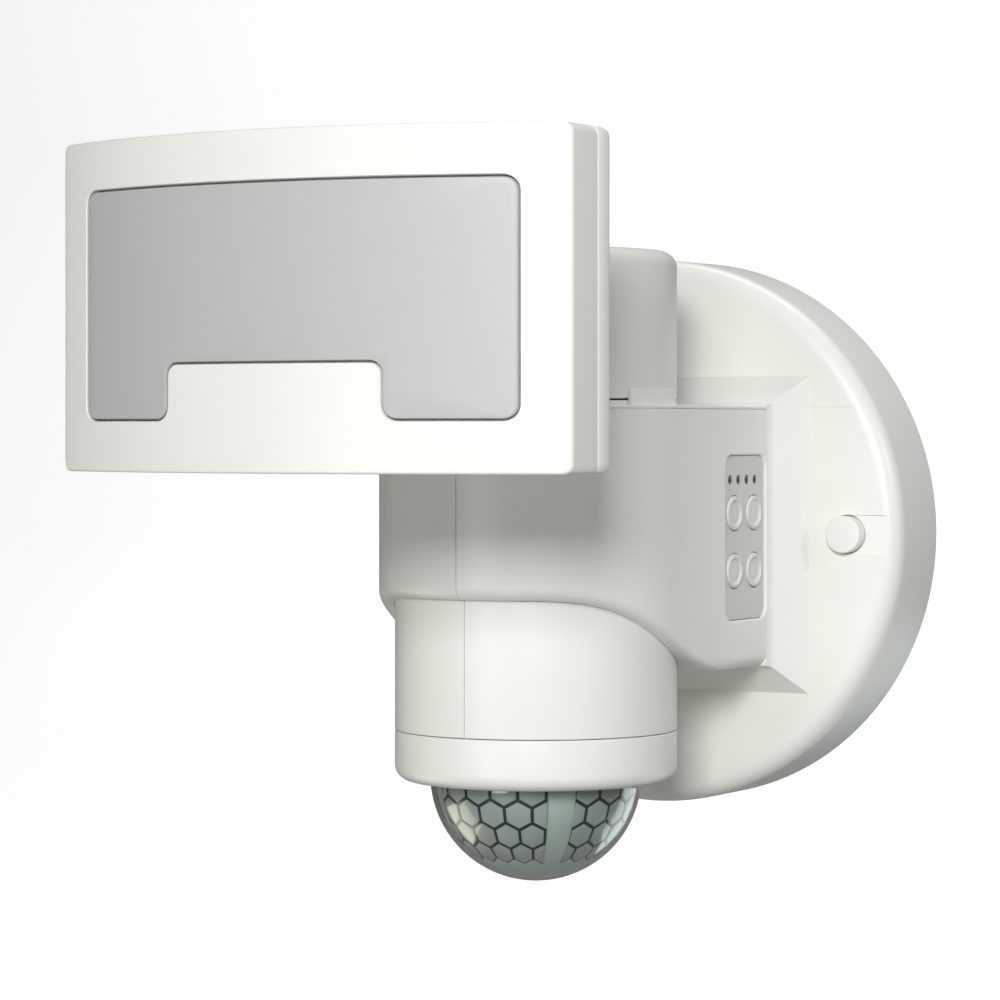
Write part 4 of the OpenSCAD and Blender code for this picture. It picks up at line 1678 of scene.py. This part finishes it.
# ---------------------------------------------------------------- lamp head


@dataclass
class LampHead(SubAssembly):
    """The turning head: round housing, neck, rear cover, bezel and lamp window."""

    wall: float = 2.6
    corner: float = 2.6
    front_corner: float = 124.3
    bow: float = 20.85
    side_front: float = 13.7
    side_all: float = 22.1
    cup_r: float = 42.0
    cup_edge: float = 5.0
    neck_half: float = 34.0
    neck_low: float = 46.0
    window_side: float = 12.2
    window_foot: float = 13.9
    window_head: float = 13.6
    notch_half: float = 33.6
    notch_tall: float = 15.2
    half: float = field(init=False)
    low: float = field(init=False)
    high: float = field(init=False)
    bow_r: float = field(init=False)
    bow_y: float = field(init=False)
    seam_r: float = field(init=False)
    rear_r: float = field(init=False)

    def __post_init__(self) -> None:
        """Works out the radii of the bow from the panel's own box."""
        self.half = high_mm("front_bezel").x
        self.low = low_mm("front_bezel").z
        self.high = high_mm("front_bezel").z
        self.bow_r = (self.half**2 + self.bow**2) / (2 * self.bow)
        self.bow_y = self.bow_r - self.front_corner - self.bow
        reach = self.bow_y + self.front_corner
        self.seam_r = math.hypot(self.half, reach - self.side_front)
        self.rear_r = math.hypot(self.half, reach - self.side_all)

    def build(self) -> None:
        """Builds and places every visible piece of the head."""
        self.place(self.housing(), ["head_housing"], "head", "white_shell")
        self.place(self.rear_cover(), ["head_back"], "head", "white_shell")
        self.place(self.bezel(), ["front_bezel"], "head", "white_shell")
        self.place(self.window(), ["lamp_window"], "head", "window_grey")

    def panel_outline(self, inset: float) -> list[Point]:
        """Outline of the panel from the front, drawn in by a margin.

        Args:
            inset: the margin.

        Returns:
            The points of the outline.
        """
        radius = max(0.4, self.corner - inset)
        return rectangle(
            -self.half + inset, self.low + inset, self.half - inset, self.high - inset, radius
        )

    def window_outline(self, grow: float) -> list[Point]:
        """Outline of the lamp window with its notch, grown by a margin.

        Args:
            grow: the margin.

        Returns:
            The points of the outline.
        """
        side = self.half - self.window_side + grow
        foot = self.low + self.window_foot - grow
        head = self.high - self.window_head + grow
        notch = self.notch_half - grow
        sill = self.low + self.window_foot + self.notch_tall - grow
        out = 4.2 + grow
        into = max(0.5, 3.2 - grow)
        return rounded_path(
            [
                (-side, foot, out), (-notch, foot, out), (-notch, sill, into), (notch, sill, into),
                (notch, foot, out), (side, foot, out), (side, head, out), (-side, head, out),
            ],
            steps=8,
        )

    def bent(
        self,
        name: str,
        outer: Sequence[tuple[float, float]],
        hole: Sequence[tuple[float, float]] = (),
        outline: Callable[[float], list[Point]] | None = None,
    ) -> bpy.types.Object:
        """A plate built flat from stacked outlines and then bent to the bow.

        Args:
            name: name of the piece.
            outer: (inset, radius of the bow) of each layer of the outside, front to back.
            hole: (growth, radius of the bow) of each layer of the hole, front to back.
            outline: draws an outer layer from its inset; the panel's outline if left out.

        Returns:
            The piece.
        """
        outline = outline or self.panel_outline
        mesh = bmesh.new()
        ends: list[list[bmesh.types.BMEdge]] = [[], []]
        for layers, draw in ((outer, outline), (hole, self.window_outline)):
            rows = [[mesh.verts.new((x, -r, z)) for x, z in draw(inset)] for inset, r in layers]
            for low, high in zip(rows, rows[1:]):
                for k in range(len(low)):
                    n = (k + 1) % len(low)
                    mesh.faces.new((low[k], low[n], high[n], high[k]))
            for row, end in ((rows[0], ends[0]), (rows[-1], ends[1])) if rows else ():
                for k in range(len(row)):
                    edge = mesh.edges.get((row[k], row[(k + 1) % len(row)]))
                    end.append(edge)
        for end in ends:
            bmesh.ops.triangle_fill(mesh, use_beauty=True, use_dissolve=False, edges=end)
        for k in range(-26, 27):
            everything = [*mesh.verts, *mesh.edges, *mesh.faces]
            bmesh.ops.bisect_plane(
                mesh, geom=everything, dist=0.0002, plane_co=(k * 3.0 + 0.37, 0, 0), plane_no=(1, 0, 0)
            )
        for vertex in mesh.verts:
            x, r = vertex.co.x, -vertex.co.y
            vertex.co.y = self.layout.column_y + self.bow_y - math.sqrt(r * r - x * x)
        return Builder.finish_mesh(mesh, name, sharp=32)

    @staticmethod
    def rounding(inset: float, depth: float, radius: float, first: int, last: int) -> list[Point]:
        """Layers of a rounded rim, as (inset, depth) for steps of a quarter turn.

        Args:
            inset: inset at the end of the rounding nearest the outside.
            depth: bow radius of the front of the rounding.
            radius: size of the rounding.
            first: first step, 0 to 6.
            last: last step, 0 to 6.

        Returns:
            The layers.
        """
        step = 1 if last >= first else -1
        return [
            (
                inset + radius * (1 - math.sin(math.radians(15 * k))),
                depth - radius * (1 - math.cos(math.radians(15 * k))),
            )
            for k in range(first, last + step, step)
        ]

    def bezel(self) -> bpy.types.Object:
        """The front frame: bowed face with the window's opening, side walls, hollow behind."""
        face = self.bow_r
        outer = [
            *self.rounding(0.0, face, 0.8, 0, 6),
            (0.0, self.seam_r + 0.55), (0.3, self.seam_r + 0.2), (self.wall, self.seam_r + 0.2),
            (self.wall, face - self.wall),
        ]
        hole = [(0.3, face), (0.05, face - 0.3), (0.0, face - 0.6), (0.0, face - self.wall)]
        return self.bent("bowed_bezel", outer, hole)

    def rear_cover(self) -> bpy.types.Object:
        """The rear cover: a shallow bowed tray with soft rear edges and four screw holes."""
        rear = self.rear_r
        soft = 2.4
        back_rim = [
            (soft * (1 - math.cos(math.radians(15 * k))), rear + soft * (1 - math.sin(math.radians(15 * k))))
            for k in range(7)
        ]
        outer = [
            (self.wall, rear + self.wall), (self.wall, self.seam_r - 0.2),
            (0.3, self.seam_r - 0.2), (0.0, self.seam_r - 0.55), *back_rim,
        ]
        piece = self.bent("rear_cover", outer)
        x_at = self.half - 7
        spots = [(x, z) for x in (-x_at, x_at) for z in (self.low + 7, self.high - 7)]
        reach = -self.layout.column_y
        cutters = [
            Builder.prism(arc(x, z, 3.1, 0, 350, 35), Layout.off_wall, reach + 60, reach + 110, "hole")
            for x, z in spots
        ]
        combine(piece, cutters, Cut.AWAY)
        return piece

    def window(self) -> bpy.types.Object:
        """The milky window: a flush pane with the notch, on a wider edge behind the bezel."""
        face = self.bow_r - 0.1
        layers = [
            (-1.0, face), (-0.72, face - 0.08), (-0.58, face - 0.3), (-0.5, face - 0.7),
            (-0.5, self.bow_r - self.wall - 0.15), (2.5, self.bow_r - self.wall - 0.15),
            (2.5, self.bow_r - self.wall - 2.2),
        ]
        return self.bent("milky_window", layers, outline=self.window_outline)

    def housing(self) -> bpy.types.Object:
        """The round cup with its hollow, and the neck that flares into the rear cover."""
        low, high = low_mm("head_housing").z, high_mm("head_housing").z
        profile = rounded_path(
            [
                (9.1, low, 0.0), (self.cup_r, low, 0.45), (self.cup_r, high, self.cup_edge),
                (0.0, high, 0.0), (0.0, high - self.wall, 0.0),
                (self.cup_r - self.wall, high - self.wall, 2.5),
                (self.cup_r - self.wall, low + self.wall, 0.3), (9.1, low + self.wall, 0.0),
            ],
            steps=10,
        )
        cup = Builder.revolve(profile, self.layout.on_column, "head_housing_cup", steps=192)
        combine(cup, [self.neck(high)], Cut.JOIN)
        return cup

    def neck(self, high: float) -> bpy.types.Object:
        """The neck: round-edged box from inside the cup to the rear cover, flared at its end.

        Args:
            high: height of the top of the neck.

        Returns:
            The neck.
        """
        loops: list[Loop] = []
        stops = [0.0, 0.2, 0.4, 0.6, 0.75, 0.84, 0.89, 0.93, 0.96, 0.98, 0.993, 1.0]
        start = -22.0
        for share in stops:
            ahead = max(0.0, (share - 0.86) / 0.14)
            flare = 7.0 * (1 - math.sqrt(max(0.0, 1 - ahead * ahead)))
            w = self.neck_half + flare
            z0, z1 = self.neck_low - flare, high - 0.3 + flare * 0.8
            outline = rounded_path(
                [(-w, z0, 4 + flare), (w, z0, 4 + flare), (w, z1, 6 + flare), (-w, z1, 6 + flare)],
                steps=7,
            )
            loop: Loop = []
            for x, z in outline:
                end = self.bow_y - math.sqrt((self.rear_r + 0.4) ** 2 - x * x)
                y = start + (end - start) * share
                loop.append(self.layout.upright(x, y, z))
            loops.append(loop)
        return Builder.skin(loops, "neck")


# ---------------------------------------------------------------- carried-over nodes


@dataclass
class InnerWorks(SubAssembly):
    """The nodes whose shape is right already: they get rounded edges and a finish."""

    edge: dict[str, float] = field(
        default_factory=lambda: {
            "back_plate": 0.4, "wall_gasket": 0.6, "cable_grommet": 0.5, "terminal_block": 0.5,
            "terminal_screws": 0.12, "plate_screws": 0.15, "shell_screws": 0.15,
            "bracket_screws": 0.12, "bezel_screws": 0.15, "spindle_screws": 0.12,
            "pan_bushing": 0.25, "motor_bracket": 0.25, "pan_motor": 0.5, "motor_shaft": 0.3,
            "motor_pinion": 0.1, "pan_gear": 0.1, "driver_board": 0.15, "power_parts": 0.5,
            "control_board": 0.15, "tact_switches": 0.2, "pir_holder": 0.5, "pir_sensors": 0.3,
            "pir_board": 0.15, "window_gasket": 0.2, "reflector": 0.3, "led_boards": 0.15,
            "led_emitters": 0.2, "heatsink": 0.2, "pan_spindle": 0.25, "spindle_clip": 0.2,
        }
    )

    def build(self) -> None:
        """Finishes every node that no new piece stands for."""
        slots = {entry["node"]: entry["material_slot"] for entry in frame["record"]["subparts"]}
        for name, width in self.edge.items():
            node = frame["nodes"][name]
            soften(node, width)
            finish = SLOT_FINISH[slots[name]]
            node.data.materials.clear()
            node.data.materials.append(finish.material())
            LOG.info("node %s is finished as %s", name, finish.name)


# ---------------------------------------------------------------- studio


@dataclass
class Studio:
    """Floor, lights, air and camera."""

    heading: float = 30.0
    distance: float = 1069.0
    eye: float = 32.8
    aside: float = 10.7
    lens: float = 129.168
    rise: float = -0.073
    column_y: float = -102.0
    floor_z: float = -0.5

    def build(self) -> None:
        """Builds the whole studio."""
        self.camera()
        self.floor()
        self.air()
        self.light("key", (0.66, -1.60, 0.50), (0.0, -0.12, 0.0), 0.42, 24.0, (1.0, 0.998, 0.985))
        self.light("low_front", (-0.30, -1.7, -0.25), (0.0, -0.1, -0.04), 0.5, 3.6, (1.0, 1.0, 1.0))
        self.light("side", (1.55, -0.33, 0.60), (0.05, -0.04, 0.0), 0.16, 4.2, (1.0, 1.0, 1.0))
        self.light("glint_left", (-0.455, -0.206, -0.442), (0.0, -0.1, -0.07), 0.38, 0.9, (1.0, 1.0, 0.80))
        self.light("glint_right", (0.212, 0.395, -0.328), (0.0, -0.1, -0.07), 0.34, 0.5, (0.88, 1.0, 0.94))
        self.light("backdrop", (0.0, 1.0, 2.4), (0.0, 2.8, 0.5), 2.0, 60.0, (1.0, 1.0, 1.0))
        bpy.context.scene.view_settings.view_transform = "Standard"

    def camera(self) -> None:
        """Sets a level camera at the heading and distance, with a small upward shift."""
        a = math.radians(self.heading)
        look = Vector((-math.sin(a), math.cos(a), 0.0))
        right = Vector((math.cos(a), math.sin(a), 0.0))
        axis = Vector((0.0, self.column_y, self.eye))
        eye = (axis - look * self.distance - right * self.aside) * MM
        data = bpy.data.cameras.new("studio_camera")
        data.sensor_width = 36.0
        data.lens = self.lens
        data.shift_y = self.rise
        data.clip_start = 0.01
        data.clip_end = 50
        camera = bpy.data.objects.new("studio_camera", data)
        bpy.context.scene.collection.objects.link(camera)
        camera.matrix_world = Matrix.Translation(eye) @ look.to_track_quat("-Z", "Y").to_matrix().to_4x4()
        bpy.context.scene.camera = camera

    def floor(self) -> None:
        """A wide pale floor that rises softly at the back."""
        mesh = bmesh.new()
        rows = []
        for y, z in [(-3.0, 0.0), (1.6, 0.0), (2.0, 0.03), (2.4, 0.14), (2.7, 0.4), (2.85, 0.9), (2.9, 3.0)]:
            rows.append([mesh.verts.new((x, y, self.floor_z + z)) for x in (-4.0, 4.0)])
        for low, high in zip(rows, rows[1:]):
            mesh.faces.new((low[0], low[1], high[1], high[0]))
        data = bpy.data.meshes.new("studio_floor")
        mesh.to_mesh(data)
        mesh.free()
        data.shade_smooth()
        piece = bpy.data.objects.new("studio_floor", data)
        bpy.context.scene.collection.objects.link(piece)
        finish = Finish(
            "studio_floor", (0.93, 0.93, 0.93), (0.91, 0.91, 0.91), rough=0.9, scale=40.0, bump=0.1, rub=0.0
        )
        data.materials.append(self.quiet(finish.material()))

    @staticmethod
    def quiet(made: bpy.types.Material) -> bpy.types.Material:
        """Makes a floor look pale without throwing its own light back on the object.

        Args:
            made: the floor's material.

        Returns:
            The same material.
        """
        tree = made.node_tree
        shader = next(n for n in tree.nodes if n.type == "BSDF_PRINCIPLED")
        sight = tree.nodes.new("ShaderNodeLightPath")
        shown = tree.nodes.new("ShaderNodeMix")
        shown.data_type = "RGBA"
        shown.inputs["A"].default_value = (0.24, 0.24, 0.24, 1)
        glow = tree.nodes.new("ShaderNodeMix")
        glow.data_type = "RGBA"
        glow.inputs["A"].default_value = (0, 0, 0, 1)
        glow.inputs["B"].default_value = (0.52, 0.52, 0.52, 1)
        link = tree.links.new
        link(sight.outputs["Is Camera Ray"], shown.inputs["Factor"])
        link(sight.outputs["Is Camera Ray"], glow.inputs["Factor"])
        link(shader.inputs["Base Color"].links[0].from_socket, shown.inputs["B"])
        link(shown.outputs["Result"], shader.inputs["Base Color"])
        link(glow.outputs["Result"], shader.inputs["Emission Color"])
        shader.inputs["Emission Strength"].default_value = 1.0
        return made

    def air(self) -> None:
        """An even pale surround."""
        world = bpy.data.worlds.new("studio_air")
        world.use_nodes = True
        sky = next(n for n in world.node_tree.nodes if n.type == "BACKGROUND")
        sky.inputs["Color"].default_value = (1.0, 1.0, 1.0, 1.0)
        sight = world.node_tree.nodes.new("ShaderNodeLightPath")
        level = world.node_tree.nodes.new("ShaderNodeMapRange")
        level.inputs["To Min"].default_value = 0.14
        level.inputs["To Max"].default_value = 0.95
        world.node_tree.links.new(sight.outputs["Is Camera Ray"], level.inputs["Value"])
        world.node_tree.links.new(level.outputs["Result"], sky.inputs["Strength"])
        bpy.context.scene.world = world

    @staticmethod
    def light(
        name: str,
        spot: tuple[float, float, float],
        aim: tuple[float, float, float],
        size: float,
        power: float,
        colour: tuple[float, float, float],
    ) -> None:
        """Adds one soft panel light.

        Args:
            name: name of the light.
            spot: where it stands, in metres.
            aim: the point that it faces.
            size: edge of the panel in metres.
            power: power in watts.
            colour: its colour.
        """
        data = bpy.data.lights.new(f"{name}_light", "AREA")
        data.shape = "SQUARE"
        data.size = size
        data.energy = power
        data.color = colour
        lamp = bpy.data.objects.new(f"{name}_light", data)
        bpy.context.scene.collection.objects.link(lamp)
        lamp.visible_camera = False
        lamp.location = spot
        lamp.rotation_euler = (Vector(aim) - Vector(spot)).to_track_quat("-Z", "Y").to_euler()


def main() -> None:
    """Builds the studio and every sub-assembly."""
    logging.basicConfig(level=logging.INFO, format="%(name)s: %(message)s")
    layout = Layout()
    Studio().build()
    for assembly in (WallEnd, Arm, Keypad, Sensor, LampHead, InnerWorks):
        assembly(layout).build()
        LOG.info("%s done", assembly.__name__)
    bpy.context.view_layer.update()


if __name__ == "__main__":
    main()
